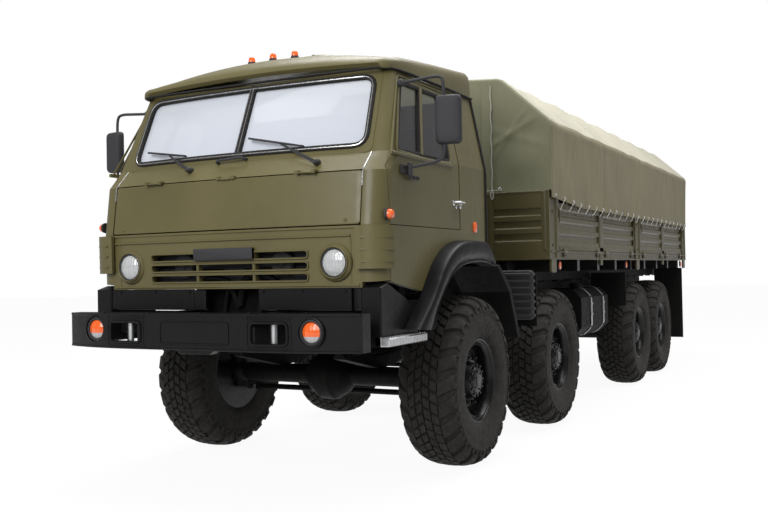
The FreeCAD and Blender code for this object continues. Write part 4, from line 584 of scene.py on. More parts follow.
CAB_PAINT = Paint("cab_olive", "olive_paint", (0.138, 0.119, 0.048), gloss=0.38, coat=0.2, dust_top=1.2,
                  shine=0.3)
BED_PAINT = Paint("bed_olive", "bed_paint", (0.096, 0.082, 0.034), gloss=0.36, dust_top=1.6, dust_share=0.1)
# The bed floor is painted near black below z 1.489, as painted shade for its underside.
FLOOR_PAINT = Paint("bed_floor", "bed_paint", (0.096, 0.082, 0.034), gloss=0.36, dust_share=0.1,
                    painted_shade_below=1.489)
BLACK_PAINT = Paint("bumper_black", "black_paint", (0.005, 0.005, 0.006), gloss=0.42, dust_share=0.03,
                    coat=0.08, shine=0.16)
FRAME_PAINT = Paint("frame_black", "frame_grey", (0.004, 0.004, 0.004), gloss=0.6, dust_share=0.06, coat=0,
                    shine=0.12)
RIM_PAINT = Paint("rim_black", "wheel_black", (0.005, 0.005, 0.005), gloss=0.3, dust_share=0.05, coat=0.12,
                  shine=0.2)
TYRE = Rubber("tyre_rubber", "tyre", (0.017, 0.0165, 0.0165), dust_share=0.24)
SEAL = Rubber("seal_rubber", "dark_plastic", (0.012, 0.012, 0.013), dust_share=0.12)
CANVAS = Cloth("tilt_canvas", "canvas", (0.255, 0.222, 0.125), sheen=0.08)
CANVAS_END = Cloth("tilt_end", "canvas", (0.210, 0.212, 0.132), sheen=0.08)
# The top canvas is paler than the sides as a painted highlight: the pale sky's sheen on the upward faces.
CANVAS_TOP_SHEEN = Cloth("tilt_top_painted_sheen", "canvas", (0.41, 0.39, 0.30), sheen=0.1)
SEAT_CLOTH = Cloth("seat_cloth", "seat_cloth", (0.05, 0.05, 0.052), thread=0.003, crease=0.001)
ROPE = Cloth("lacing_rope", "canvas", (0.42, 0.40, 0.34), thread=0.006, crease=0.0005)
PLASTIC = Plain("dark_plastic", "dark_plastic", (0.012, 0.012, 0.014), gloss=0.42)
STEEL = Plain("bright_steel", "lamp_glass", (0.62, 0.62, 0.63), gloss=0.25, metal=1.0)
ALLOY = Plain("step_alloy", "lamp_glass", (0.55, 0.56, 0.57), gloss=0.38, metal=0.85, grain=0.0006, scale=120)
MIRROR = Plain("mirror_silver", "glass", (0.75, 0.78, 0.82), gloss=0.06, metal=1.0, grain=0.0)
REFLECTOR = Plain("lamp_reflector", "lamp_glass", (0.86, 0.86, 0.84), gloss=0.18, metal=0.4)
# The windscreen's pale blue-white colour and paler top are a painted reflection of the sky; the door glass's
# near-black colour is painted shade for the cab inside, with a painted reflection at the top.
SCREEN = Pane("windscreen_glass", "glass", (0.72, 0.76, 0.85), clear=0.28, painted_reflection=(0.86, 0.90, 0.97))
DOOR_GLASS = Pane("door_glass", "glass", (0.035, 0.037, 0.044), clear=0.6, painted_reflection=(0.05, 0.053, 0.06))
CLEAR_LENS = Lens("clear_lens", "lamp_glass", (0.86, 0.87, 0.88))
# ORANGE glows a little; on the side reflectors, which are no lamps, this glow is painted light.
ORANGE = Lens("orange_lens", "lamp_orange", (0.90, 0.13, 0.012), ribs=60, clear=0.0, glow=0.22)
RED = Lens("red_lens", "lamp_orange", (0.45, 0.02, 0.01), ribs=60, clear=0.1)


@dataclass(frozen=True)
class Floor(Finish):
    """The pale floor: white as seen straight or in a mirror, with the truck's soft shadow."""

    glow: float = 0.94

    def make(self, graph: Graph) -> bpy.types.Material:
        """Mixes plain white light with a matt surface, only for seen and mirrored rays."""
        matt = graph.node("BsdfDiffuse", {"Color": (*self.colour, 1)}).outputs[0]
        pale = graph.node("BsdfDiffuse", {"Color": (0.93, 0.93, 0.93, 1)}).outputs[0]
        light = graph.node("Emission", {"Color": (1, 1, 1, 1), "Strength": 1.0}).outputs[0]
        seen = graph.node("MixShader", {0: self.glow, 1: pale, 2: light}).outputs[0]
        rays = graph.node("LightPath")
        share = graph.sums("MAXIMUM", rays.outputs["Is Camera Ray"], rays.outputs["Is Glossy Ray"])
        share = graph.sums("MAXIMUM", share, rays.outputs["Is Transmission Ray"])
        both = graph.node("MixShader", {0: share, 1: matt, 2: seen}).outputs[0]
        graph.node("OutputMaterial", {"Surface": both})
        return graph.made


@dataclass
class Studio:
    """The camera, the plain light and the pale floor."""

    eye: tuple[float, float, float] = (3.7724, -9.6252, 1.4174)
    yaw: float = 27.65
    pitch: float = 0.91
    roll: float = -1.06
    lens: float = 43.74
    world: float = 0.62
    mirrored: float = 0.34
    sky: float = 1150.0
    key: float = 560.0

    def camera(self) -> None:
        """Sets the camera: forward from yaw and pitch, with the right and up turned by the roll."""
        yaw, pitch, roll = (math.radians(angle) for angle in (self.yaw, self.pitch, self.roll))
        forward = np.array([-math.sin(yaw) * math.cos(pitch), math.cos(yaw) * math.cos(pitch),
                            math.sin(pitch)])
        right = np.array([math.cos(yaw), math.sin(yaw), 0.0])
        above = np.cross(right, forward)
        turned = math.cos(roll) * right + math.sin(roll) * above
        up = -math.sin(roll) * right + math.cos(roll) * above
        data = bpy.data.cameras.new("Camera")
        data.lens, data.sensor_width, data.clip_end = self.lens, 36.0, 200.0
        made = bpy.data.objects.new("Camera", data)
        bpy.context.scene.collection.objects.link(made)
        matrix = np.eye(4)
        matrix[:3, 0], matrix[:3, 1], matrix[:3, 2], matrix[:3, 3] = turned, up, -forward, self.eye
        made.matrix_world = Matrix(matrix.tolist())
        bpy.context.scene.camera = made

    def lamp(self, name: str, place: tuple[float, float, float], aim: tuple[float, float, float],
             power: float, width: float) -> None:
        """Hangs a square soft lamp.

        Args:
            name: The lamp's name.
            place: Where it hangs.
            aim: The point that it faces.
            power: Its power in watts.
            width: The side of the square.
        """
        data = bpy.data.lights.new(name, "AREA")
        data.energy, data.size = power, width
        made = bpy.data.objects.new(name, data)
        bpy.context.scene.collection.objects.link(made)
        away = np.subtract(place, aim) / np.linalg.norm(np.subtract(place, aim))
        right = np.cross((0, 0, 1), away) if abs(away[2]) < 0.99 else np.array([1.0, 0, 0])
        right = right / np.linalg.norm(right)
        matrix = np.eye(4)
        matrix[:3, 0], matrix[:3, 1], matrix[:3, 2], matrix[:3, 3] = right, np.cross(away, right), away, place
        made.matrix_world = Matrix(matrix.tolist())

    def light(self) -> None:
        """Lights the truck from a pale sky, with one wide lamp above and one ahead of it."""
        world = bpy.data.worlds.new("Sky")
        bpy.context.scene.world = world
        world.use_nodes = True
        tree = world.node_tree
        ground = tree.nodes["Background"]
        ground.inputs["Color"].default_value = (1, 1, 1, 1)
        rays = tree.nodes.new("ShaderNodeLightPath")
        mirrored = tree.nodes.new("ShaderNodeMapRange")
        mirrored.inputs["To Min"].default_value = self.world
        mirrored.inputs["To Max"].default_value = self.mirrored
        tree.links.new(rays.outputs["Is Glossy Ray"], mirrored.inputs["Value"])
        scale = tree.nodes.new("ShaderNodeMapRange")
        tree.links.new(mirrored.outputs["Result"], scale.inputs["To Min"])
        scale.inputs["To Max"].default_value = 1.0
        seen = tree.nodes.new("ShaderNodeMath")
        seen.operation = "MAXIMUM"
        tree.links.new(rays.outputs["Is Camera Ray"], seen.inputs[0])
        tree.links.new(rays.outputs["Is Transmission Ray"], seen.inputs[1])
        tree.links.new(seen.outputs[0], scale.inputs["Value"])
        tree.links.new(scale.outputs["Result"], ground.inputs["Strength"])
        self.lamp("SkyLamp", (0.5, 0.0, 9.0), (0, 0, 0), self.sky, 9.0)
        self.lamp("KeyLamp", (0.5, -13.0, 5.5), (0, -4, 1.8), self.key, 5.0)

    def floor(self) -> None:
        """Lays a wide round floor under the wheels."""
        mesh = bpy.data.meshes.new("studio_floor")
        edge = placed(ring(60.0, 96), Plane.PLAN, 0.0)
        mesh.from_pydata(edge.tolist(), [], [list(range(96))])
        mesh.materials.append(Floor("floor_white", "floor", (0.10, 0.10, 0.10)).material())
        made = bpy.data.objects.new("studio_floor", mesh)
        bpy.context.scene.collection.objects.link(made)

    def build(self) -> None:
        """Sets the whole studio and the plain view."""
        self.camera()
        self.light()
        self.floor()
        bpy.context.scene.view_settings.view_transform = "Standard"


@dataclass
class Tyre:
    """A cross-country tyre: a round-shouldered carcass with rows of blocks and long shoulder lugs."""

    radius: float = 0.615
    depth: float = 0.02
    shoulder_lugs: int = 24
    turns: int = 96

    # the carcass from one bead over the crown to the other: offset from the mid-plane, radius
    SECTION = ((0.160, 0.293), (0.176, 0.300), (0.190, 0.325), (0.197, 0.333), (0.203, 0.352),
               (0.2115, 0.410), (0.2120, 0.450), (0.2090, 0.487), (0.2110, 0.492), (0.2080, 0.500),
               (0.203, 0.508), (0.190, 0.541), (0.165, 0.566), (0.130, 0.581), (0.080, 0.591), (0.0, 0.5955))

    def section(self) -> tuple[Array, Array, Array]:
        """Gives the carcass section with its normals and the distance along it from the crown."""
        half = np.array(self.SECTION)
        whole = np.concatenate([half * (-1, 1), half[-2::-1]])
        step = np.gradient(whole, axis=0)
        normal = np.stack([-step[:, 1], step[:, 0]], 1)
        normal /= np.linalg.norm(normal, axis=1, keepdims=True)
        length = np.concatenate([[0], np.cumsum(np.linalg.norm(np.diff(whole, axis=0), axis=1))])
        return whole, normal, length - length[len(half) - 1]

    def surface(self, angle: Array, place: Array, height: Array) -> Array:
        """Gives points on the tyre.

        A point is (x, r sin a, -r cos a), where (x, r) is the section at the place, moved out along
        its normal by the height.

        Args:
            angle: The turn round the axle.
            place: The distance along the section from the crown.
            height: How far above the carcass.

        Returns:
            The points round the hub.
        """
        whole, normal, length = self.section()
        x, r = (np.interp(place, length, whole[:, part]) for part in (0, 1))
        nx, nr = (np.interp(place, length, normal[:, part]) for part in (0, 1))
        x, r = x + height * nx, r + height * nr
        return np.stack(np.broadcast_arrays(x, r * np.sin(angle), -r * np.cos(angle)), -1)

    def lugs(self, shell: Shell, centre: Array, start: Array, stations: Array, slant: float, width: float,
             height: Array) -> None:
        """Adds a row of lugs, each a ring of six points carried along the section.

        Args:
            shell: Where they go.
            centre: The hub's centre.
            start: Each lug's turn round the axle.
            stations: Places along the section, from the crown outwards.
            slant: The turn gained per metre along the section.
            width: A lug's width round the tyre.
            height: The height at each station.
        """
        side = np.array([-1.06, -0.98, -0.88, 0.88, 0.98, 1.06]) * width / 2 / self.radius
        lift = np.array([-0.1, 0.82, 1.0, 1.0, 0.82, -0.1])
        turn = start[:, None, None] + slant * (stations - stations[0])[None, :, None] + side[None, None]
        points = self.surface(turn, stations[None, :, None],
                              lift[None, None] * height[None, :, None]) + centre
        rows, count = len(stations), len(start)
        number = np.arange(rows * 6).reshape(rows, 6)
        number = np.concatenate([number, number[:, :1]], 1)
        quads = np.stack([number[:-1, :-1], number[:-1, 1:], number[1:, 1:], number[1:, :-1]],
                         -1).reshape(-1, 4)
        last = (rows - 1) * 6
        caps = np.array([(0, 1, 4, 5), (1, 2, 3, 4), (last, last + 1, last + 4, last + 5),
                         (last + 1, last + 2, last + 3, last + 4)])
        faces = np.concatenate([quads, caps])[None] + rows * 6 * np.arange(count)[:, None, None]
        shell.add(points, faces.reshape(-1, 4))

    def add(self, shell: Shell, centre: Sequence[float]) -> None:
        """Adds the carcass and all its lugs round a hub."""
        middle = np.asarray(centre, float)
        whole, _, length = self.section()
        turn = np.linspace(0, 2 * np.pi, self.turns, endpoint=False)
        shell.grid(np.swapaxes(self.surface(turn[:, None], length[None], np.zeros(1)) + middle, 0, 1),
                   wrap=True)
        inner = np.array([whole[0], whole[0] + (0.01, 0.012), (0.0, 0.36), whole[-1] + (-0.01, 0.012),
                          whole[-1]])
        liner = inner[:, 0, None], inner[:, 1, None] * np.sin(turn), -inner[:, 1, None] * np.cos(turn)
        shell.grid(np.stack(np.broadcast_arrays(*liner), -1) + middle, wrap=True)
        pitch = 2 * np.pi / self.shoulder_lugs
        for way in (1, -1):
            start = pitch * (np.arange(self.shoulder_lugs) + (0.5 if way < 0 else 0))
            self.lugs(shell, middle, start, way * np.array([0.108, 0.14, 0.175, 0.2, 0.222]), -0.9 * way,
                      0.098, self.depth * np.array([1.0, 1.0, 1.0, 0.9, 0.62]))
            self.lugs(shell, middle, start - 0.135 * pitch, way * np.array([0.218, 0.236, 0.252]), 0.0, 0.040,
                      self.depth * np.array([0.6, 0.5, 0.42]))
            self.lugs(shell, middle, start + 0.30 * pitch, way * np.array([0.222, 0.238, 0.256]), 0.0, 0.030,
                      self.depth * np.array([0.5, 0.5, 0.36]))
            half = pitch / 2 * np.arange(2 * self.shoulder_lugs)
            for near, far, shift in ((0.005, 0.049, 0.0), (0.058, 0.102, 0.25)):
                phase = pitch * (shift + (0.25 if way < 0 else 0.0))
                self.lugs(shell, middle, half + phase, way * np.array([near, (near + far) / 2, far]),
                          0.9 * way, 0.061, self.depth * np.array([0.97, 1.0, 0.97]))


@dataclass
class Rim:
    """A glossy rim: flange and lock rings, a deep disc, a ring of nuts and a bolted hub cap."""

    nuts: int = 10
    cap_bolts: int = 12
    sides: int = 64

    # from the outer flange in to the disc and its hub: offset outwards, radius
    PROFILE = ((-0.178, 0.256), (-0.178, 0.302), (-0.168, 0.302), (-0.160, 0.289), (0.140, 0.289),
               (0.152, 0.292), (0.160, 0.303), (0.168, 0.306), (0.1745, 0.302), (0.176, 0.295),
               (0.172, 0.288), (0.160, 0.2845), (0.158, 0.279), (0.164, 0.277), (0.166, 0.273),
               (0.162, 0.2685), (0.146, 0.2665), (0.143, 0.262), (0.149, 0.260), (0.150, 0.256),
               (0.144, 0.2525), (0.10, 0.250), (0.068, 0.248), (0.058, 0.243), (0.052, 0.232), (0.062, 0.214),
               (0.086, 0.198), (0.091, 0.192), (0.091, 0.141), (0.086, 0.136), (0.095, 0.132), (0.1, 0.128),
               (0.142, 0.122), (0.147, 0.118), (0.150, 0.096), (0.160, 0.092), (0.164, 0.086), (0.166, 0.045),
               (0.172, 0.042), (0.174, 0.0))

    def add(self, shell: Shell, centre: Sequence[float], axis: Sequence[float]) -> None:
        """Adds the rim round a hub, facing along the axis."""
        middle, line = np.asarray(centre, float), np.asarray(axis, float)
        shell.turn(self.PROFILE, middle, line, self.sides)
        shell.turn([(-0.05, 0.256), (-0.052, 0.12), (0.03, 0.10), (0.07, 0.25)], middle, line, 32)
        across = np.cross(line, (0, 0, 1))
        for count, radius, size, low, high, turn in ((self.nuts, 0.167, 0.0165, 0.085, 0.112, 0.1),
                                                     (self.nuts, 0.167, 0.0085, 0.110, 0.126, 0.1),
                                                     (self.cap_bolts, 0.108, 0.009, 0.145, 0.160, 0.0),
                                                     (6, 0.066, 0.008, 0.162, 0.173, 0.3)):
            for angle in turn + np.arange(count) * 2 * np.pi / count:
                spot = middle + radius * (math.cos(angle) * across + math.sin(angle) * np.array([0, 0, 1.0]))
                shell.turn([(low, size), (high - 0.003, size), (high, size * 0.8)], spot, line,
                           12 if size == 0.0085 else 6)
        for angle in np.arange(5) * 2 * np.pi / 5:
            spot = middle + 0.222 * (math.cos(angle) * across + math.sin(angle) * np.array([0, 0, 1.0]))
            shell.turn([(0.066, 0.020), (0.071, 0.017), (0.066, 0.012)], spot + 0.002 * line, line, 14,
                       ends=False)


@dataclass
class Wheels:
    """The eight road wheels, single on every axle."""

    half_track: float = 1.064

    def build(self) -> None:
        """Builds each tyre and rim on its own body."""
        for number, y in enumerate(AXLES, start=1):
            for side in Side:
                centre = (side.value * self.half_track, y, HUB_Z)
                tyre = Shell(f"tread_{number}_{side.word}")
                Tyre().add(tyre, centre)
                body = f"wheel_{number}_{side.word}"
                tyre.piece(body, TYRE, stands_for=[f"tyre_{number}_{side.word}"], smooth=40)
                rim = Shell(f"wheel_disc_{number}_{side.word}")
                Rim().add(rim, centre, (side.value, 0, 0))
                rim.piece(body, RIM_PAINT, stands_for=[f"rim_{number}_{side.word}"], smooth=50)
@dataclass(frozen=True)
class CabForm:
    """The cab's outer form: plan outlines at a few levels, joined straight."""

    # level, half width, front face ahead of the first axle, its bow, corner across and along
    LEVELS = ((1.278, 1.150, 1.299, 0.032, 0.150, 0.110), (1.705, 1.150, 1.307, 0.040, 0.150, 0.110),
              (2.043, 1.150, 1.261, 0.052, 0.150, 0.110), (2.170, 1.148, 1.135, 0.072, 0.148, 0.085),
              (2.725, 1.035, 0.905, 0.064, 0.060, 0.060))
    rear: float = -2.92

    def at(self, z: Array) -> list[Array]:
        """Gives the outline's five sizes at a level, mixed straight between the levels."""
        table = np.array(self.LEVELS)
        return [np.interp(z, table[:, 0], table[:, column]) for column in range(1, 6)]

    def front(self, x: Array, z: Array) -> Array:
        """Gives y on the front: a parabola between the corners and a quarter ellipse round each."""
        half, ahead, bow, across, deep = self.at(z)
        reach = np.abs(x)
        flat = half - across
        turn = np.clip((reach - flat) / across, 0, 1)
        middle = -bow * (1 - np.clip(reach / flat, 0, 1) ** 2)
        return AXLES[0] - ahead + np.where(reach < flat, middle, deep * (1 - np.sqrt(1 - turn ** 2)))

    def side(self, z: Array) -> Array:
        """Gives x on the left side."""
        return self.at(z)[0]

    def face(self, flat: Array, lift: float = 0.0) -> Array:
        """Lays (x, z) points on the front, lifted forwards."""
        points = np.asarray(flat, float)
        return np.stack([points[:, 0], self.front(points[:, 0], points[:, 1]) - lift, points[:, 1]], 1)

    def flank(self, flat: Array, side: Side, lift: float = 0.0) -> Array:
        """Lays (y, z) points on one side, lifted outwards."""
        points = np.asarray(flat, float)
        x = side.value * (self.side(points[:, 1]) + lift)
        return np.stack([x, points[:, 0], points[:, 1]], 1)


FORM = CabForm()
FORWARD = (0.0, -1.0, 0.0)


def spread(points: Array, step: float, closed: bool = True) -> Array:
    """Spaces points evenly along a chain.

    Args:
        points: The chain.
        step: The distance wanted between points.
        closed: Whether the chain closes.

    Returns:
        The chain with even points.
    """
    chain = np.concatenate([points, points[:1]]) if closed else np.asarray(points, float)
    length = np.concatenate([[0], np.cumsum(np.linalg.norm(np.diff(chain, axis=0), axis=1))])
    count = max(3, int(round(length[-1] / step)))
    want = np.linspace(0, length[-1], count + (0 if closed else 1), endpoint=not closed)
    return np.stack([np.interp(want, length, column) for column in chain.T], 1)


def oblong(x0: float, x1: float, z0: float, z1: float, radius: float, steps: int = 5) -> Array:
    """An upright rounded rectangle."""
    return rounded([(x0, z0), (x1, z0), (x1, z1), (x0, z1)], radius, steps)


def lip(width: float, height: float, sink: float = 0.004) -> Array:
    """A rounded bead's profile: its width, its height over the surface and its foot below it."""
    half = width / 2
    return np.array([(-half, -sink), (half, -sink), (half, 0.45 * height), (0.55 * half, height),
                     (-0.55 * half, height), (-half, 0.45 * height)])
@dataclass(frozen=True)
class RoofForm:
    """The moulded roof: stations along y with a half width, rim and crown, joined smoothly."""

    # y, half width, top of the rim, crown
    STATIONS = ((-4.308, 0.985, 2.770, 2.800), (-4.294, 1.012, 2.792, 2.832), (-4.262, 1.030, 2.806, 2.868),
                (-4.180, 1.042, 2.825, 2.915), (-4.09, 1.048, 2.838, 2.937), (-3.85, 1.050, 2.862, 2.975),
                (-3.54, 1.052, 2.890, 3.018), (-3.20, 1.051, 2.917, 3.055), (-2.985, 1.049, 2.936, 3.078),
                (-2.945, 1.046, 2.935, 3.076), (-2.918, 1.036, 2.922, 3.062), (-2.905, 1.020, 2.900, 3.035))
    low: float = 2.725

    def at(self, y: Array) -> list[Array]:
        """Gives the half width, rim and crown at a station."""
        table = np.array(self.STATIONS)
        return [np.interp(y, table[:, 0], table[:, column]) for column in (1, 2, 3)]

    def top(self, x: Array, y: Array) -> Array:
        """Gives the roof's height: rim + (crown - rim)(1 - (x / flat)^2) with flat just inside the rim."""
        half, rim, crown = self.at(y)
        flat = half - 0.075
        return rim + (crown - rim) * (1 - np.clip(np.abs(x) / flat, 0, 1) ** 2)

    def rows(self, shrink: float = 0.0) -> Array:
        """Gives each station's cross section, a rounded rim under an arched top."""
        rings = []
        for y, half, rim, crown in self.STATIONS:
            half, rim, crown = half - shrink, rim - shrink, crown - shrink
            spread_x = bars(1, -1, 17) * (half - 0.075)
            arch = np.stack([spread_x, rim + (crown - rim) * (1 - (spread_x / (half - 0.075)) ** 2)], 1)
            low = self.low + 0.004
            rise = rim - low
            right = np.array([(half, low), (half, low + 0.35 * rise), (half - 0.003, low + 0.62 * rise),
                              (half - 0.013, low + 0.83 * rise), (half - 0.034, low + 0.96 * rise)])
            outline = np.concatenate([right, arch, right[::-1] * (-1, 1)])
            rings.append(placed(outline, Plane.FRONT, y))
        return np.stack(rings)


ROOF = RoofForm()


@dataclass
class Roof:
    """The roof moulding, its gutter, black as a painted shadow line under the roof's edge, and the hatch lid.
    """

    hatch: tuple[float, float, float, float] = (-0.28, 0.28, -3.81, -3.25)
    thick: float = 0.022
    gutter_z: float = 2.733

    # the gutter from the right rear round the front to the left rear: x, y
    GUTTER = ((-1.040, -2.91), (-1.052, -3.4), (-1.050, -4.05), (-1.036, -4.225), (-0.99, -4.305),
              (-0.70, -4.318), (0, -4.326), (0.70, -4.318), (0.99, -4.305), (1.036, -4.225),
              (1.050, -4.05), (1.052, -3.4), (1.040, -2.91))
    # the lid from its rubber up to the middle: how far in from its edge, height over the roof
    LID = ((0.012, 0.006), (0.0, 0.010), (0.0, 0.022), (0.010, 0.032), (0.05, 0.036), (0.14, 0.037))

    def build(self) -> None:
        """Builds the roof's shell, the black gutter under it as a painted shadow line, and the lid with its
        rubber.
        """
        shell = Shell("roof_moulding")
        outer, inner = ROOF.rows(), ROOF.rows(self.thick)
        inner[:, :, 1] = np.clip(inner[:, :, 1], outer[0, 0, 1] + 0.02, outer[-1, 0, 1] - 0.02)
        shell.grid(outer)
        shell.grid(inner[::-1])
        for first, second in ((outer[0], inner[0]), (outer[-1], inner[-1]), (outer[:, 0], inner[:, 0]),
                              (outer[:, -1], inner[:, -1])):
            shell.grid(np.stack([first, second]))
        shell.piece("cab", CAB_PAINT, stands_for=["cab_roof"], smooth=50)
        # the gutter is black as a painted shadow line under the roof's edge
        shell = Shell("roof_gutter_shadow_line")
        line = rounded(self.GUTTER, 0.06, 5, closed=False)
        path = np.column_stack([line, np.full(len(line), self.gutter_z)])
        shell.strip(path, np.array([(-0.012, -0.005), (0.011, -0.005), (0.015, 0.001), (0.012, 0.006),
                                    (-0.012, 0.006)]), (0, 0, 1))
        shell.piece("cab", SEAL)
        self.lid()

    def lid(self) -> None:
        """Builds the hatch lid: rounded outlines laid on the roof and lifted, and its handle."""
        x0, x1, y0, y1 = self.hatch
        shell = Shell("hatch_lid")
        rings = []
        for cut, lift in self.LID:
            flat = rounded([(x0 + cut, y0 + cut), (x1 - cut, y0 + cut), (x1 - cut, y1 - cut),
                            (x0 + cut, y1 - cut)], 0.06, 8)
            rings.append(np.column_stack([flat, ROOF.top(flat[:, 0], flat[:, 1]) + lift]))
        shell.loft(np.stack(rings))
        for x in (-0.12, 0.12):
            line = bars(y0 + 0.08, y1 - 0.08, 10)
            path = np.stack([np.full(10, x), line, ROOF.top(np.full(10, x), line) + 0.036], 1)
            shell.strip(path, lip(0.03, 0.008, 0.006), (0, 0, 1))
        shell.piece("roof_hatch", CAB_PAINT, stands_for=["roof_hatch"])
        shell = Shell("hatch_coaming")
        flat = spread(rounded([(x0 - 0.008, y0 - 0.008), (x1 + 0.008, y0 - 0.008), (x1 + 0.008, y1 + 0.008),
                               (x0 - 0.008, y1 + 0.008)], 0.06, 8), 0.03)
        path = np.column_stack([flat, ROOF.top(flat[:, 0], flat[:, 1])])
        shell.hoop(path, lip(0.014, 0.010, 0.006), (0, 0, 1))
        shell.piece("cab", SEAL)


@dataclass
class Windscreen:
    """The screen's painted surround, rubber gasket with its bright insert, and divider."""

    low: float = 2.196
    top: float = 2.708
    half_low: float = 0.972
    half_top: float = 0.948
    corner: float = 0.085

    def outline(self, grow: float, radius: float) -> Array:
        """Gives the screen's outline, let out, as evenly spaced points."""
        low, top = self.low - grow, self.top + grow
        wide, narrow = self.half_low + grow, self.half_top + grow
        return rounded([(-wide, low), (wide, low), (narrow, top), (-narrow, top)], radius, 12)

    def build(self) -> None:
        """Builds the surround, gasket, insert and divider on the front's form."""
        shell = Shell("screen_surround")
        inner, outer = self.outline(-0.012, self.corner), self.outline(0.030, 0.05)
        shell.collar([FORM.face(inner, -0.012), FORM.face(inner, 0.004), FORM.face(outer, 0.004),
                      FORM.face(outer, -0.012)])
        shell.piece("cab", CAB_PAINT)
        shell = Shell("screen_gasket")
        path = spread(self.outline(-0.018, self.corner), 0.03)
        shell.hoop(FORM.face(path, 0.004), lip(0.036, 0.014, 0.012), FORWARD)
        rise = np.stack([np.zeros(12), bars(self.low + 0.002, self.top - 0.002, 12)], 1)
        shell.strip(FORM.face(rise, 0.0), lip(0.046, 0.016, 0.012), FORWARD)
        shell.piece("cab", SEAL)
        shell = Shell("screen_trim")
        shell.hoop(FORM.face(path, 0.0175), ring(0.0050, 6), FORWARD)
        for x in (-0.012, 0.012):
            rise = np.stack([np.full(12, x), bars(self.low + 0.02, self.top - 0.02, 12)], 1)
            shell.strip(FORM.face(rise, 0.0165), ring(0.0025, 6), FORWARD)
        shell.piece("cab", STEEL)


@dataclass
class Wipers:
    """Two wipers with their pivots, arms and blades, and the grab handle between them."""

    # pivot, and the blade's two ends, as (x, z) on the front
    SETS = (((0.663, 2.113), (0.085, 2.321), (0.525, 2.233)),
            ((-0.353, 2.129), (-0.823, 2.296), (-0.443, 2.240)))

    def wiper(self, shell: Shell, pivot: Array, near: Array, far: Array) -> None:
        """Adds one wiper: a capped pivot, a tapering arm, a yoke and a blade with its rubber."""
        line = bars(0, 1, 9)[:, None]
        middle = 0.42 * near + 0.58 * far
        root = FORM.face(pivot[None], 0.02)[0]
        shell.turn([(-0.02, 0.021), (0.008, 0.021), (0.014, 0.017), (0.03, 0.015), (0.036, 0.010)], root,
                   FORWARD, 16)
        lift = 0.028 + 0.022 * np.sin(np.pi * line[:, 0])
        arm = FORM.face(pivot + (middle - pivot) * line)
        arm[:, 1] -= lift
        half = np.array([(-0.011, -0.004), (0.011, -0.004), (0.011, 0.006), (-0.011, 0.006)])
        rings = along(arm, half, FORWARD)
        rings = arm[:, None] + (rings - arm[:, None]) * (1.0 - 0.45 * line[:, :, None])
        shell.loft(rings)
        blade = FORM.face(near + (far - near) * line)
        blade[:, 1] -= 0.026
        shell.strip(blade, np.array([(-0.004, -0.018), (0.004, -0.018), (0.007, 0.0), (0.007, 0.008),
                                     (-0.007, 0.008), (-0.007, 0.0)]), FORWARD)
        for start, end in ((0.18, 0.5), (0.5, 0.82)):
            share = start + (end - start) * line
            yoke = FORM.face(near + (far - near) * share)
            yoke[:, 1] -= 0.034 + 0.012 * np.sin(np.pi * line[:, 0])
            shell.strip(yoke, ring(0.004, 6), FORWARD)

    def build(self) -> None:
        """Builds both wipers and the handle."""
        shell = Shell("wipers")
        for pivot, near, far in self.SETS:
            self.wiper(shell, *(np.array(point) for point in (pivot, near, far)))
        flat = np.array([(-0.134, 2.166), (-0.134, 2.166), (-0.118, 2.178), (0.074, 2.190), (0.090, 2.178),
                         (0.090, 2.178)])
        grip = FORM.face(flat)
        grip[:, 1] -= np.array([0.0, 0.03, 0.045, 0.045, 0.03, 0.0])
        shell.tube(rounded(grip, 0.02, 4, closed=False), 0.0095)
        shell.piece("cab", PLASTIC)


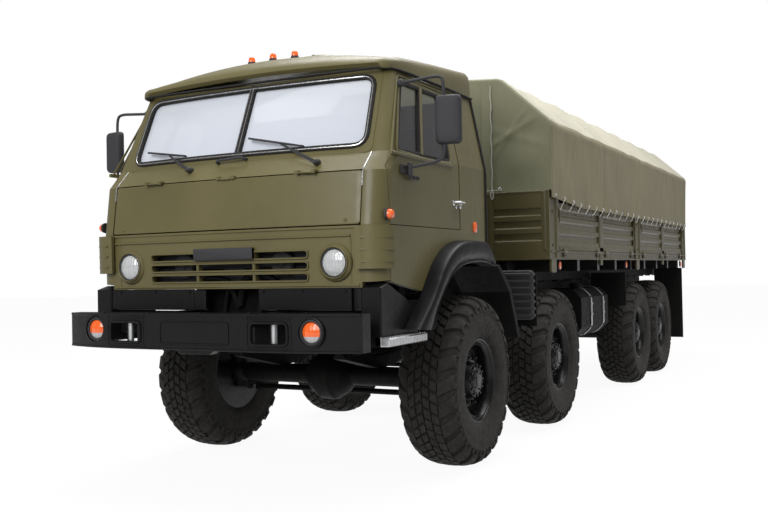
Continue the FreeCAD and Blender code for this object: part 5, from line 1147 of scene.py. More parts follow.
@dataclass
class Grille:
    """The slotted front panel's raised rims, creases and dark plate, and the lamps beside it."""

    half: float = 0.636
    rows: tuple[float, ...] = (1.387, 1.459, 1.531)
    slot: float = 0.050
    divider: float = 0.229
    lamp_x: float = 0.828
    lamp_z: float = 1.474
    glass: float = 0.084

    # the creases across the panel: z, both ends in x, height
    CREASES = ((1.640, -0.985, 0.935, 0.010), (1.334, -0.992, 0.992, 0.008), (1.690, -0.998, 0.998, 0.006))
    # the headlight's flared ring and the black ring inside it: place ahead, radius
    BEZEL = ((-0.02, 0.120), (0.004, 0.120), (0.010, 0.117), (0.020, 0.104), (0.030, 0.101), (0.032, 0.097),
             (0.028, 0.093), (-0.005, 0.091), (-0.02, 0.091))
    SEAT = ((-0.01, 0.092), (0.022, 0.092), (0.026, 0.089), (0.024, 0.083), (0.006, 0.083), (-0.01, 0.083))

    def middles(self) -> list[tuple[float, float, float]]:
        """Gives where each headlight's axis meets the panel."""
        return [(x, float(FORM.front(np.array(x), np.array(self.lamp_z))), self.lamp_z)
                for x in (-self.lamp_x, self.lamp_x)]

    def rims(self) -> Shell:
        """Adds a raised rim round each row of slots, the dividers and the panel's creases."""
        shell = Shell("grille_rims")
        for z in self.rows:
            path = spread(oblong(-self.half, self.half, z - self.slot / 2, z + self.slot / 2, 0.018), 0.02)
            shell.hoop(FORM.face(path, 0.001), lip(0.013, 0.009, 0.008), FORWARD)
            for x in (-self.divider, self.divider):
                rise = np.stack([np.full(4, x), bars(z - 0.024, z + 0.024, 4)], 1)
                shell.strip(FORM.face(rise, -0.006), lip(0.018, 0.011, 0.01), FORWARD)
        for z, x0, x1, high in self.CREASES:
            line = np.stack([bars(x0, x1, 60), np.full(60, z)], 1)
            shell.strip(FORM.face(line, 0.0), lip(0.016, high), FORWARD)
        for x in (-0.935, 0.935):
            rise = np.stack([np.full(12, x), bars(1.345, 1.632, 12)], 1)
            shell.strip(FORM.face(rise), lip(0.009, 0.004), FORWARD)
        return shell

    def bezels(self, shell: Shell) -> None:
        """Adds each headlight's flared ring."""
        for middle in self.middles():
            shell.turn(self.BEZEL, middle, FORWARD, 48, ends=False)

    def lamps(self) -> None:
        """Builds the headlights: a black ring, a bowl with its bulb cap, and a domed ribbed lens."""
        shell = Shell("headlamps")
        for middle in self.middles():
            shell.turn(self.SEAT, middle, FORWARD, 48, 1, ends=False)
            radius = bars(self.glass, 0.0, 9)
            dome = np.stack([0.016 + 0.022 * (1 - (radius / self.glass) ** 2), radius], 1)
            shell.turn(np.concatenate([[(0.004, 0.0), (0.004, self.glass)], dome]), middle, FORWARD, 48, 0)
            bowl = np.stack([-0.03 + 0.03 * (radius / self.glass) ** 2, radius], 1)
            shell.turn(np.concatenate([bowl, [(-0.036, 0.0), (-0.036, 0.086), (0.0, 0.0845)]]), middle,
                       FORWARD, 48, 2)
        shell.piece("cab", CLEAR_LENS, PLASTIC, REFLECTOR, stands_for=["headlights"])

    def build(self) -> None:
        """Builds the rims, bezels, dark plate, backing plate, round vents behind it and lamps."""
        shell = self.rims()
        self.bezels(shell)
        shell.piece("cab", CAB_PAINT)
        shell = Shell("grille_plate")
        plate = oblong(-0.238, 0.238, 1.507, 1.585, 0.006, 2)
        back = FORM.face(plate, 0.006)
        front = FORM.face(plate, 0.030)
        small = FORM.face(oblong(-0.232, 0.232, 1.513, 1.579, 0.006, 2), 0.034)
        shell.loft(np.stack([back, front, small]))
        # the backing plate is a dark sheet behind the slots: painted shade for the inside seen through them
        backing = spread(oblong(-0.66, 0.66, 1.362, 1.612, 0.01, 2), 0.03)
        shell.loft(np.stack([FORM.face(backing, -0.105), FORM.face(backing, -0.100)]))
        for x in (-0.40, 0.40):
            hub = (x, float(FORM.front(np.array(x), np.array(1.47))) + 0.07, 1.478)
            shell.turn([(-0.03, 0.085), (0.0, 0.085), (0.012, 0.075), (0.012, 0.03), (0.022, 0.02)], hub,
                       FORWARD, 24)
        shell.piece("cab", PLASTIC)
        self.lamps()


@dataclass
class Corners:
    """The corner deflectors' ribs, the bright corner strips, the corner lamps and roof lamps."""

    def deflectors(self) -> None:
        """Adds three pale ribs round each deflector: points on a quarter ellipse outside the cab's."""
        shell = Shell("deflector_ribs")
        turn = bars(0.12, 1.45, 14)
        for z in (1.478, 1.552, 1.626):
            half, ahead, _, across, deep = (float(value) for value in FORM.at(np.array(z)))
            x = half - across + (across + 0.0435) * np.sin(turn)
            y = AXLES[0] - ahead + deep - (deep + 0.0435) * np.cos(turn)
            shell.strip(np.stack([x, y, np.full(14, z)], 1), lip(0.013, 0.006, 0.004)[:, ::-1] * (-1, 1),
                        (0, 0, 1))
        shell.mirror().piece("cab", CAB_PAINT)

    def strips(self) -> None:
        """Adds the bright upright strips beside the flap."""
        shell = Shell("flap_strips")
        rise = np.stack([np.full(16, 1.006), bars(1.945, 2.165, 16)], 1)
        shell.strip(FORM.face(rise, 0.002), lip(0.009, 0.004), FORWARD)
        shell.mirror().piece("cab", STEEL)

    def lamps(self) -> None:
        """Builds the roof's three lamps and the two on the corners, with their collars."""
        shell = Shell("marker_lenses")
        for x in (-0.185, 0.0, 0.185):
            z = float(ROOF.top(np.array([x]), np.array([-4.08]))[0])
            shell.turn([(-0.02, 0.030), (0.004, 0.030), (0.006, 0.027), (0.012, 0.027)], (x, -4.08, z),
                       (0, 0, 1), 20, 1)
            shell.turn([(0.008, 0.025), (0.030, 0.024), (0.044, 0.019), (0.050, 0.010)], (x, -4.08, z),
                       (0, 0, 1), 20)
        for side in Side:
            place = (side.value * 1.150, -4.570, 1.764)
            shell.turn([(-0.004, 0.037), (0.006, 0.037), (0.010, 0.034), (0.014, 0.034)], place,
                       (side.value, 0, 0), 24, 1)
            shell.turn([(0.010, 0.032), (0.026, 0.031), (0.040, 0.024), (0.046, 0.012)], place,
                       (side.value, 0, 0), 24)
            path = placed(spread(oblong(-3.188, -3.132, 1.688, 1.768, 0.026), 0.008), Plane.FLANK,
                          side.value * 1.150)
            middle = path.mean(0)
            rings = np.stack([middle + (path - middle) * share + (side.value * out, 0, 0)
                              for share, out in ((1.0, -0.004), (1.0, 0.006), (0.82, 0.012), (0.3, 0.014))])
            shell.loft(rings, 0)
        shell.piece("cab", ORANGE, PLASTIC, ALLOY, stands_for=["marker_lamps"])

    def build(self) -> None:
        """Builds the ribs, strips and lamps."""
        self.deflectors()
        self.strips()
        self.lamps()


@dataclass
class Flap:
    """The lifting front panel, with its rolled edges, three latches and two locks."""

    half: float = 1.0005
    low: float = 1.7075
    top: float = 2.0415

    def build(self) -> None:
        """Builds the panel, its outline carried back and its rim rounded, with its locks and latches."""
        shell = Shell("flap_panel")
        outline = spread(oblong(-self.half, self.half, self.low, self.top, 0.012, 3), 0.02)
        middle, small = outline.mean(0), inset(outline, 0.005)
        loops = [FORM.face(outline, -0.036), FORM.face(outline, -0.005),
                 FORM.face(inset(outline, 0.0015), -0.0015), FORM.face(small)]
        loops += [FORM.face(middle + (small - middle) * share) for share in bars(0.97, 0.02, 18)]
        shell.loft(np.stack(loops))
        for x in (-0.62, 0.0, 0.62):
            y = float(FORM.front(np.array(x), np.array(self.top)))
            shell.box((x - 0.038, y - 0.016, 2.036), (x + 0.038, y + 0.004, 2.0455), 0.003)
        for x in (-0.90, 0.90):
            y = float(FORM.front(np.array(x), np.array(1.735)))
            shell.turn([(-0.004, 0.013), (0.003, 0.013), (0.005, 0.010)], (x, y, 1.735), FORWARD, 20)
            shell.box((x - 0.0015, y - 0.0065, 1.726), (x + 0.0015, y - 0.003, 1.744), 0.0005)
        shell.piece("front_flap", CAB_PAINT, stands_for=["front_flap"], smooth=30)


@dataclass
class Door:
    """What is on one door: window rubbers, sill trim, drip strip, handle and the mirror with its arm."""

    side: Side

    # the window's corners on the side, from its front foot round: y, z
    WINDOW = ((-4.400, 2.178), (-3.595, 2.178), (-3.538, 2.655), (-4.146, 2.655))
    # the vent post's middle line
    POST = ((-4.055, 2.175), (-3.850, 2.662))
    # the handle's pull: out from the door, y, z
    PULL = ((0.002, -3.555, 1.890), (0.026, -3.545, 1.893), (0.040, -3.515, 1.895), (0.040, -3.455, 1.895),
            (0.030, -3.425, 1.893), (0.002, -3.415, 1.890))
    # the mirror's bent tube, on the left side
    ARM = ((1.070, -4.187, 2.640), (1.348, -4.192, 2.660), (1.378, -4.196, 2.625), (1.378, -4.198, 2.150),
           (1.348, -4.208, 2.108), (1.186, -4.300, 2.072))
    # the mirror's head from its back to its rim: place, half width, half height, corner radius
    HEAD = ((-0.0305, 0.030, 0.09, 0.02), (-0.0290, 0.055, 0.128, 0.03), (-0.022, 0.073, 0.146, 0.032),
            (-0.008, 0.082, 0.155, 0.034), (0.018, 0.0845, 0.1575, 0.034), (0.026, 0.083, 0.156, 0.034),
            (0.028, 0.079, 0.152, 0.032), (0.022, 0.077, 0.150, 0.030))
    # its glass, back and front, in the same way
    GLASS = ((0.0225, 0.0765, 0.1495, 0.03), (0.0245, 0.0755, 0.1485, 0.03))

    skin: float = 1.150
    head: tuple[float, float, float] = (1.408, -4.198, 2.372)
    turned_in: float = math.radians(10)

    def flat(self, points: Sequence[Sequence[float]] | Array, lift: float = 0.0) -> Array:
        """Lays (y, z) points on this side."""
        return FORM.flank(np.asarray(points, float), self.side, lift)

    def window(self) -> None:
        """Builds the window's rubber, its bright channel and the vent post."""
        out = (self.side.value, 0, 0)
        outline = rounded(self.WINDOW, 0.035, 6)
        shell = Shell(f"window_rubber_{self.side.word}")
        path = spread(outline, 0.03)
        shell.hoop(self.flat(path, -0.004), lip(0.026, 0.008, 0.012), out)
        post = np.array(self.POST)
        for shift in (-0.021, 0.021):
            shell.strip(self.flat(post + (shift, 0), -0.004), lip(0.012, 0.008, 0.01), out)
        shell.piece(f"door_{self.side.word}", SEAL)
        shell = Shell(f"window_frame_{self.side.word}")
        middle = path.mean(0)
        grown = middle + (path - middle) * (1 + 0.024 / np.linalg.norm(path - middle, axis=1, keepdims=True))
        shell.hoop(self.flat(grown, 0.0), lip(0.020, 0.007), out)
        shell.strip(self.flat(post, -0.002), lip(0.030, 0.012, 0.02), out)
        sill = np.stack([bars(-4.515, -3.555, 20), np.full(20, 2.150)], 1)
        shell.strip(self.flat(sill), lip(0.026, 0.014), out)
        drip = np.array([(-4.175, 2.695), (-3.460, 2.695), (-3.452, 2.690)])
        shell.strip(self.flat(drip), lip(0.016, 0.012), out)
        lean = np.array([(-4.495, 2.14), (-4.185, 2.690)])
        shell.strip(self.flat(lean), lip(0.014, 0.006), out)
        shell.piece(f"door_{self.side.word}", CAB_PAINT)

    def handle(self) -> None:
        """Builds the chrome handle: a rounded pull on two feet with a push button and a keyhole."""
        sign = self.side.value
        x = sign * self.skin
        shell = Shell(f"door_handle_{self.side.word}")
        path = np.array([(x + sign * out, y, z) for out, y, z in self.PULL])
        shell.strip(rounded(path, 0.02, 4, closed=False), ring(1.0, 12) * (0.015, 0.009), (0, 0, 1))
        for y in (-3.548, -3.420):
            shell.turn([(-0.003, 0.020), (0.004, 0.020), (0.008, 0.012)], (x, y, 1.890), (sign, 0, 0), 20)
        shell.turn([(-0.003, 0.017), (0.012, 0.017), (0.016, 0.012)], (x, -3.445, 1.866), (sign, 0, 0), 20)
        shell.turn([(-0.003, 0.013), (0.005, 0.013), (0.007, 0.010)], (x, -3.505, 1.862), (sign, 0, 0), 20)
        shell.piece(f"door_{self.side.word}", STEEL)

    def rings(self, table: Sequence[Sequence[float]]) -> Array:
        """Gives the mirror's outlines, upright and turned in towards the driver."""
        sign = self.side.value
        turn = self.turned_in * sign
        across = np.array([math.cos(turn), math.sin(turn), 0])
        deep = np.array([-math.sin(turn), math.cos(turn), 0])
        middle = np.array(self.head) * (sign, 1, 1)
        made = []
        for back, wide, tall, bend in table:
            shape = oblong(-wide, wide, -tall, tall, bend, 6)
            made.append(middle + shape[:, :1] * across + shape[:, 1:] * (0, 0, 1.0) + back * deep)
        return np.stack(made)

    def mirror(self) -> None:
        """Builds the mirror: a bent tube with its clamp and brackets, a rounded head and its glass."""
        sign = self.side.value
        shell = Shell(f"mirror_head_{self.side.word}")
        shell.tube(rounded(self.ARM, 0.07, 6, closed=False) * (sign, 1, 1), 0.0105, (0, 1, 0.2), 12)
        shell.turn([(-0.02, 0.026), (0.014, 0.026), (0.018, 0.02), (0.03, 0.018)],
                   (sign * 1.070, -4.187, 2.640), (sign, 0, 0), 14)
        shell.box(*sorted([(sign * 1.151, -4.385, 2.030), (sign * 1.163, -4.268, 2.088)]), 0.004)
        shell.turn([(2.020, 0.0), (2.020, 0.017), (2.098, 0.017), (2.102, 0.012)],
                   (sign * 1.182, -4.303, 0.0), (0, 0, 1), 16)
        shell.box(*sorted([(sign * 1.152, -4.315, 2.045), (sign * 1.185, -4.290, 2.075)]), 0.003)
        shell.box(*sorted([(sign * 1.170, -4.300, 1.998), (sign * 1.178, -4.160, 2.026)]), 0.003)
        for x, places, levels in ((1.163, (-4.372, -4.345), (2.042, 2.078)),
                                  (1.178, (-4.245, -4.205, -4.172), (2.012,))):
            for y in places:
                for z in levels:
                    shell.turn([(0.0, 0.0075), (0.007, 0.0075), (0.009, 0.005)], (sign * x, y, z),
                               (sign, 0, 0), 8)
        shell.turn([(-0.02, 0.019), (0.02, 0.019)], (sign * 1.378, -4.198, 2.372), (0, 0, 1), 14)
        shell.loft(self.rings(self.HEAD))
        shell.loft(self.rings(self.GLASS), 1)
        shell.piece(f"door_{self.side.word}", PLASTIC, MIRROR, stands_for=[f"mirror_{self.side.word}"])

    def build(self) -> None:
        """Builds all the door's fittings."""
        self.window()
        self.handle()
        self.mirror()


@dataclass
class Doors:
    """Both doors' fittings, and the strips beside the doors on the cab."""

    def build(self) -> None:
        """Builds the fittings on both doors and the black strip down the cab's rear edge."""
        for side in Side:
            Door(side).build()
        shell = Shell("rear_edge_rubber")
        level = bars(1.60, 2.72, 24)
        path = np.stack([FORM.side(level) + 0.001, np.full(24, -2.930), level], 1)
        shell.strip(path, lip(0.020, 0.012, 0.006)[::-1], (1, 0, 0))
        shell.mirror().piece("cab", SEAL)


@dataclass
class Arches:
    """The black lower trim: moulded wheel arches, step boxes with bright steps, and lower panels."""

    # along each arch from its front foot: outer y, z and inner y, z
    CURVE = ((-4.371, 1.045, -4.131, 1.030), (-4.250, 1.140, -4.100, 1.092), (-4.093, 1.281, -4.075, 1.160),
             (-3.960, 1.440, -3.960, 1.285), (-3.820, 1.545, -3.815, 1.385), (-3.640, 1.612, -3.640, 1.450),
             (-3.420, 1.628, -3.420, 1.468), (-3.220, 1.624, -3.250, 1.470), (-3.130, 1.616, -3.140, 1.455),
             (-3.020, 1.478, -3.060, 1.440))
    # the section from the cab over the lip and back: x, share from the outer to the inner curve
    SECTION = ((1.152, 0.0), (1.190, 0.0), (1.238, 0.02), (1.256, 0.07), (1.264, 0.16), (1.267, 0.32),
               (1.268, 0.60), (1.264, 0.70), (1.252, 0.76), (1.249, 0.84), (1.256, 0.90), (1.2595, 0.95),
               (1.254, 1.0), (1.240, 1.0), (1.152, 1.0))
    # the step box from the side: y, z
    STEP = ((-4.668, 0.957), (-4.155, 0.957), (-4.155, 1.020), (-4.200, 1.155), (-4.300, 1.235),
            (-4.568, 1.345), (-4.668, 1.318))

    def arch(self, shell: Shell) -> None:
        """Adds one arch: a grid of sections between its outer and inner curves, with a rolled lip."""
        table = np.array(self.CURVE)
        outer, inner = (spread(rounded(table[:, pair], 0.12, 6, closed=False), 0.03, closed=False)
                        for pair in ((0, 1), (2, 3)))
        count = 60
        outer, inner = (chain[np.linspace(0, len(chain) - 1, count).round().astype(int)]
                        for chain in (outer, inner))
        section = np.array(self.SECTION)
        share = section[None, :, 1, None]
        flat = outer[:, None] * (1 - share) + inner[:, None] * share
        x = np.broadcast_to(section[None, :, :1], flat.shape[:2] + (1,))
        shell.loft(np.concatenate([x, flat], 2))

    def steps(self, shell: Shell) -> None:
        """Adds one step box, its well and the bright tread plate with its studs."""
        shell.slab(np.array(self.STEP), Plane.FLANK, 1.010, 1.148, 0.008)
        shell.box((1.100, -4.668, 0.9575), (1.148, -4.140, 1.020), 0.006, 1)
        shell.box((1.108, -4.666, 0.960), (1.2035, -4.132, 1.012), 0.006, 1)
        y, x = np.meshgrid(bars(-4.640, -4.160, 16), bars(1.125, 1.190, 3))
        lows = np.stack([x.ravel() - 0.006, y.ravel() - 0.009, np.full(x.size, 1.010)], 1)
        shell.boxes(lows, lows + (0.012, 0.018, 0.006), 1)
        y = bars(-4.640, -4.160, 13)
        lows = np.stack([np.full(13, 1.2015), y - 0.011, np.full(13, 0.972)], 1)
        shell.boxes(lows, lows + (0.0035, 0.022, 0.028), 1)

    def build(self) -> None:
        """Builds arches, steps and panels on both sides."""
        shell = Shell("lower_trim")
        self.arch(shell)
        self.steps(shell)
        panel = rounded([(0.262, 1.178), (0.950, 1.178), (0.950, 1.3175), (0.262, 1.3175)], 0.012, 3)
        shell.slab(panel, Plane.FRONT, -4.677, -4.652, 0.004)
        shell.box((0.955, -4.660, 1.178), (1.010, -4.560, 1.3175), 0.008)
        for x in (0.30, 0.60, 0.91):
            shell.turn([(0.0, 0.010), (0.006, 0.010), (0.009, 0.007)], (x, -4.677, 1.30), FORWARD, 8)
        shell.mirror().piece("cab", BLACK_PAINT, ALLOY, stands_for=["cab_lower_trim"], smooth=40)


@dataclass
class Bumper:
    """The front bumper's pressed frames and lips, tow pins, fog lamps, bolts and guard; the tail lamps."""

    reach: float = -5.012
    flat: float = 0.46
    half: float = 1.150
    sweep: float = 0.109
    power: float = 2.36
    tow_x: float = 0.565
    fog_x: float = 0.846
    fog_z: float = 1.062
    lens: float = 0.060
    split: float = 0.40

    def front(self, x: Array) -> Array:
        """Gives y on the bumper: flat in the middle, then swept back with a power of x."""
        share = np.clip((np.abs(x) - self.flat) / (self.half - self.flat), 0, 1)
        return self.reach + self.sweep * share ** self.power

    def face(self, flat: Array, lift: float = 0.0) -> Array:
        """Lays (x, z) points on the bumper."""
        return np.stack([flat[:, 0], self.front(flat[:, 0]) - lift, flat[:, 1]], 1)

    def pressings(self) -> None:
        """Builds the rolled lips, the tow openings' frames, the blank plate's rim, bolts and guard."""
        shell = Shell("bumper_pressings")
        across = bars(-1.146, 1.146, 70)
        for z in (1.162, 0.948):
            shell.strip(self.face(np.stack([across, np.full(70, z)], 1), -0.002), lip(0.016, 0.006), FORWARD)
        for x in (-self.tow_x, self.tow_x):
            for grow, wide, high in ((0.006, 0.020, 0.012), (0.030, 0.012, 0.006)):
                path = spread(oblong(x - 0.125 - grow, x + 0.125 + grow, 0.990 - grow, 1.112 + grow, 0.03),
                              0.02)
                shell.hoop(self.face(path, -0.002), lip(wide, high), FORWARD)
            for z in (1.146, 0.962):
                for step in (-0.155, 0.155):
                    place = self.face(np.array([(x + step, z)]))[0]
                    shell.turn([(-0.004, 0.008), (0.004, 0.008), (0.006, 0.005)], place, FORWARD, 8)
        path = spread(oblong(-0.269, 0.269, 0.981, 1.119, 0.02), 0.02)
        shell.hoop(self.face(path, -0.003), lip(0.012, 0.008), FORWARD)
        for x in (-self.fog_x, self.fog_x):
            y = float(self.front(np.array(x)))
            shell.turn([(-0.02, 0.094), (0.004, 0.094), (0.008, 0.088), (0.008, 0.081), (-0.02, 0.079)],
                       (x, y, self.fog_z), FORWARD, 36, ends=False)
        for x in (-0.40, 0.02, 0.40, -0.80, 0.80):
            y = float(self.front(np.array(x)))
            shell.turn([(1.160, 0.011), (1.176, 0.011), (1.179, 0.008)], (x, y + 0.035, 0.0), (0, 0, 1), 6)
        guard = [(-0.150, 0.941), (-0.115, 0.916), (0.115, 0.916), (0.150, 0.941), (0.150, 0.947),
                 (-0.150, 0.947)]
        shell.slab(np.array(guard), Plane.FRONT, -5.004, -4.930, 0.003)
        shell.piece("chassis", BLACK_PAINT)

    def pins(self) -> None:
        """Builds the bright tow pins with their caps."""
        shell = Shell("tow_pins")
        for x in (-self.tow_x, self.tow_x):
            shell.turn([(0.975, 0.0), (0.975, 0.0185), (1.128, 0.0185), (1.128, 0.0)],
                       (x + 0.014, -4.967, 0.0), (0, 0, 1), 18)
        shell.piece("chassis", ALLOY)

    def lamps(self) -> None:
        """Builds the fog lamps, orange above and clear at the foot, and the tail lamps."""
        shell = Shell("fog_and_tail_lamps")
        size, drop = self.lens, self.split
        share = bars(1.0, 0.0, 8)[:, None]
        for x in (-self.fog_x, self.fog_x):
            y = float(self.front(np.array(x)))
            shell.turn([(-0.075, 0.0), (-0.070, 0.060), (-0.02, 0.077), (0.0, 0.077), (0.002, 0.066),
                        (-0.014, 0.0595)], (x, y, self.fog_z), FORWARD, 36, 2)
            for coat, start, end in ((0, -drop, np.pi + drop), (3, np.pi + drop, 2 * np.pi - drop)):
                angle = bars(start, end, 25)
                chord = np.clip(np.cos(angle), -math.cos(drop), math.cos(drop))
                across = size * (chord + share * (np.cos(angle) - chord))
                above = size * (share * (np.sin(angle) + math.sin(drop)) - math.sin(drop))
                depth = 0.008 - 0.018 * (1 - (across ** 2 + above ** 2) / size ** 2)
                dome = np.stack([x + across, y + depth, self.fog_z + above], -1)
                rear = dome + (0, 0.006, 0)
                shell.grid(dome, coat)
                shell.grid(rear[::-1], coat)
                for edge in ((dome[0], rear[0]), (dome[:, 0], rear[:, 0]), (dome[:, -1], rear[:, -1])):
                    shell.grid(np.stack(edge), coat)
        for sign in (-1, 1):
            low = np.array([min(sign * 0.89, sign * 1.03), 4.945, 1.3722])
            shell.box(low, low + (0.14, 0.034, 0.1195), 0.006, 2)
            for part, coat in ((0.004, 1), (0.050, 0), (0.096, 3)):
                start = low + (part if sign > 0 else 0.140 - part - 0.040, 0.030, 0.008)
                shell.box(start, start + (0.040, 0.0095, 0.1035), 0.003, coat)
        shell.piece("chassis", ORANGE, RED, PLASTIC, CLEAR_LENS, stands_for=["bumper_and_tail_lamps"])

    def build(self) -> None:
        """Builds the pressings, pins and lamps."""
        self.pressings()
        self.pins()
        self.lamps()


def smooth_step(value: Array) -> Array:
    """Gives 3t^2 - 2t^3 for t held from 0 to 1."""
    t = np.clip(value, 0, 1)
    return t * t * (3 - 2 * t)


def ripple(u: Array, v: Array, seed: int, scale: float, count: int = 7) -> Array:
    """Gives a smooth random relief of about -1 to 1: a sum of sine waves in random directions.

    Args:
        u: The first coordinate in metres.
        v: The second coordinate in metres.
        seed: Which relief.
        scale: The mean length of a wave.
        count: How many waves.

    Returns:
        The relief's height.
    """
    pick = np.random.default_rng(seed)
    angle, phase = pick.uniform(0, np.pi, count), pick.uniform(0, 2 * np.pi, count)
    length = scale * pick.uniform(0.6, 1.6, count)
    total = sum(np.sin(2 * np.pi * (u * math.cos(a) + v * math.sin(a)) / l + p)
                for a, p, l in zip(angle, phase, length))
    return total / math.sqrt(2 * count) / 1.1


@dataclass
class Tilt:
    """The canvas tilt: one cover over the bows with both end walls, hems, seams, eyelets and lacing."""

    front: float = -1.680
    rear: float = 5.008
    foot_front: float = 2.106
    foot_rear: float = 2.018
    corner: float = 0.022
    bays: int = 8
    thick: float = 0.005
    eyelet_pitch: float = 0.2786

    # the section over a bow, from the left hem to the middle: x, z
    SECTION = ((1.271, 1.990), (1.290, 2.715), (0.826, 3.142), (0.42, 3.172), (0.0, 3.182))

    def __post_init__(self) -> None:
        """Works out the section's even points, their normals and the lengths from the left hem."""
        half = np.array(self.SECTION)
        whole = np.concatenate([half, half[-2::-1] * (-1, 1)])
        self.path = spread(rounded(whole, 0.045, 6, closed=False), 0.022, closed=False)
        step = np.gradient(self.path, axis=0)
        self.normal = np.stack([step[:, 1], -step[:, 0]], 1) / np.linalg.norm(step, axis=1, keepdims=True)
        self.length = np.concatenate([[0], np.cumsum(np.linalg.norm(np.diff(self.path, axis=0), axis=1))])

    def relief(self, y: Array, a: Array, z: Array) -> Array:
        """Gives how far the canvas stands out from the bows' section.

        The slopes and top sag between bows with the square of a sine. The sides hang in soft upright
        folds that grow towards the hem and pull in at each eyelet. Slanting creases run down from
        each bow's shoulder, as narrow bell-shaped ridges, and a faint random relief lies over all.

        Args:
            y: The place along the truck.
            a: The length along the section from the left hem.
            z: The height on the section.

        Returns:
            The relief in metres.
        """
        pitch = (self.rear - self.front) / self.bays
        share = (y - self.front) / pitch
        span = np.sin(np.pi * share) ** 2
        over = smooth_step((z - 2.66) / 0.14)
        below = smooth_step((2.70 - z) / 0.60)
        depth = -0.015 * span * over - 0.006 * span * smooth_step((2.72 - z) / 0.1) * (1 - below)
        fold = np.sin(2 * np.pi * y / self.eyelet_pitch + 0.5 * np.sin(1.9 * y))
        wander = 0.55 + 0.45 * ripple(y, a, 3, 1.6)
        depth = depth + 0.0032 * below ** 2 * fold * wander
        depth = depth + 0.0045 * below * ripple(y, 0.45 * a, 5, 0.42)
        depth = depth + 0.0045 * ripple(y, a, 11, 0.55) * (0.4 + 0.6 * over)
        pick = np.random.default_rng(17)
        side = np.sign(a - self.length[-1] / 2)
        for bow in range(self.bays + 1):
            for way in (-1, 1):
                lean, size = pick.uniform(0.25, 0.75), pick.uniform(0.002, 0.007)
                where = pick.uniform(-0.03, 0.03)
                off = y - (self.front + bow * pitch + where + way * lean * (2.70 - z))
                ridge = np.exp(-(off / 0.028) ** 2) - 0.5 * np.exp(-((off - 0.05 * way) / 0.05) ** 2)
                fade = smooth_step((2.74 - z) / 0.08) * smooth_step((z - 2.30 + 0.2 * pick.uniform()) / 0.25)
                depth = depth + size * ridge * fade * np.where(side > 0, 1.0, pick.uniform(0.5, 1.0))
        return depth

    def laid(self, y: Array, a: Array, lift: float | Array = 0.0) -> Array:
        """Gives points on the cover from the place along the truck and the length from the left hem.

        The hem rises towards the front wall: the lengths are drawn together about the ridge there.
        """
        half = self.length[-1] / 2
        drop = 0.050 * (1 - smooth_step((y - self.front) / 1.1))
        a = half + (a - half) * (1 - drop / half)
        x, z = (np.interp(a, self.length, self.path[:, part]) for part in (0, 1))
        nx, nz = (np.interp(a, self.length, self.normal[:, part]) for part in (0, 1))
        depth = self.relief(y, a, z) + lift
        return np.stack(np.broadcast_arrays(x + depth * nx, y, z + depth * nz), -1)

    def ends(self, way: int, lift: float) -> tuple[Array, Array]:
        """Gives one end wall and its rounded corner.

        The wall is the section drawn together towards the middle of its foot, by shares from near 0
        to 1, with upright folds and creases that run in from the corners.

        Args:
            way: -1 for the front wall, 1 for the rear.
            lift: How far outwards it lies.

        Returns:
            The points from the middle outwards, and their places on the flat pattern.
        """
        level, foot = (self.front, self.foot_front) if way < 0 else (self.rear, self.foot_rear)
        turn = bars(0, np.pi / 2, 7)[:-1]
        share = np.concatenate([bars(0.004, 1, 40)[:-1] * (1 - self.corner),
                                1 - self.corner * (1 - np.sin(turn))])
        deep = np.concatenate([np.zeros(39), self.corner * (1 - np.cos(turn))])
        edge = self.laid(np.array([level - way * self.corner]), self.length, lift)
        x = share[:, None] * edge[None, :, 0]
        z = foot + share[:, None] * (np.maximum(edge[None, :, 2], foot) - foot)
        wide = smooth_step((1 - share) / 0.12)[:, None]
        fold = 0.006 * np.sin(2 * np.pi * x / 0.31 + 0.7 * np.sin(2.3 * z)) * smooth_step((2.75 - z) / 0.6)
        drag = sum(size * np.exp(-((z - 2.62 - slope * (np.abs(x) - 0.9)) / 0.03) ** 2)
                   * smooth_step((np.abs(x) - 0.4) / 0.3)
                   for size, slope in ((0.008, 0.55), (0.006, -0.35), (0.007, 1.4)))
        out = wide * (fold + drag + 0.006 * ripple(x, z, 23 + way,
                                                   0.5) - 0.012 * np.sin(np.pi * share)[:, None] ** 2)
        y = level - way * deep[:, None] + way * (out + lift)
        return np.stack(np.broadcast_arrays(x, y, z), -1), np.stack(np.broadcast_arrays(x, z), -1)

    def sheet(self, lift: float) -> tuple[Array, Array]:
        """Gives the whole cover at a lift, from the middle of the front wall to that of the rear."""
        y = bars(self.front + self.corner, self.rear - self.corner, 250)
        main = self.laid(y[:, None], self.length[None], lift)
        spots = np.stack(np.broadcast_arrays(self.length[None] - self.length[-1] / 2, y[:, None]), -1)
        near, near_spots = self.ends(-1, lift)
        far, far_spots = self.ends(1, lift)
        return np.concatenate([near, main, far[::-1]]), np.concatenate([near_spots, spots, far_spots[::-1]])

    def cover(self) -> bpy.types.Object:
        """Builds the cover as a thin closed sheet."""
        shell = Shell("tilt_cover")
        outer, spots = self.sheet(0.0)
        inner, _ = self.sheet(-self.thick)
        shell.grid(outer, spots=spots)
        shell.grid(inner[::-1], spots=spots[::-1])
        for edge in (0, -1):
            shell.grid(np.stack([outer[:, edge], inner[:, edge]]),
                       spots=np.stack([spots[:, edge], spots[:, edge]]))
        return self.sheened_top_and_walls(shell.piece("chassis", CANVAS, CANVAS_TOP_SHEEN, CANVAS_END, stands_for=["canvas_tilt"],
                                      smooth=60))

    def sheened_top_and_walls(self, made: bpy.types.Object) -> bpy.types.Object:
        """Gives the faces over the eaves the paler canvas, a painted sky sheen, and those of the end walls
        their own.
        """
        middle = np.empty(len(made.data.polygons) * 3)
        made.data.polygons.foreach_get("center", middle)
        y, z = middle[1::3], middle[2::3]
        wall = (y < self.front + self.corner) | (y > self.rear - self.corner)
        made.data.polygons.foreach_set("material_index", np.where(wall, 2, z > 2.722).astype(np.int32))
        return made

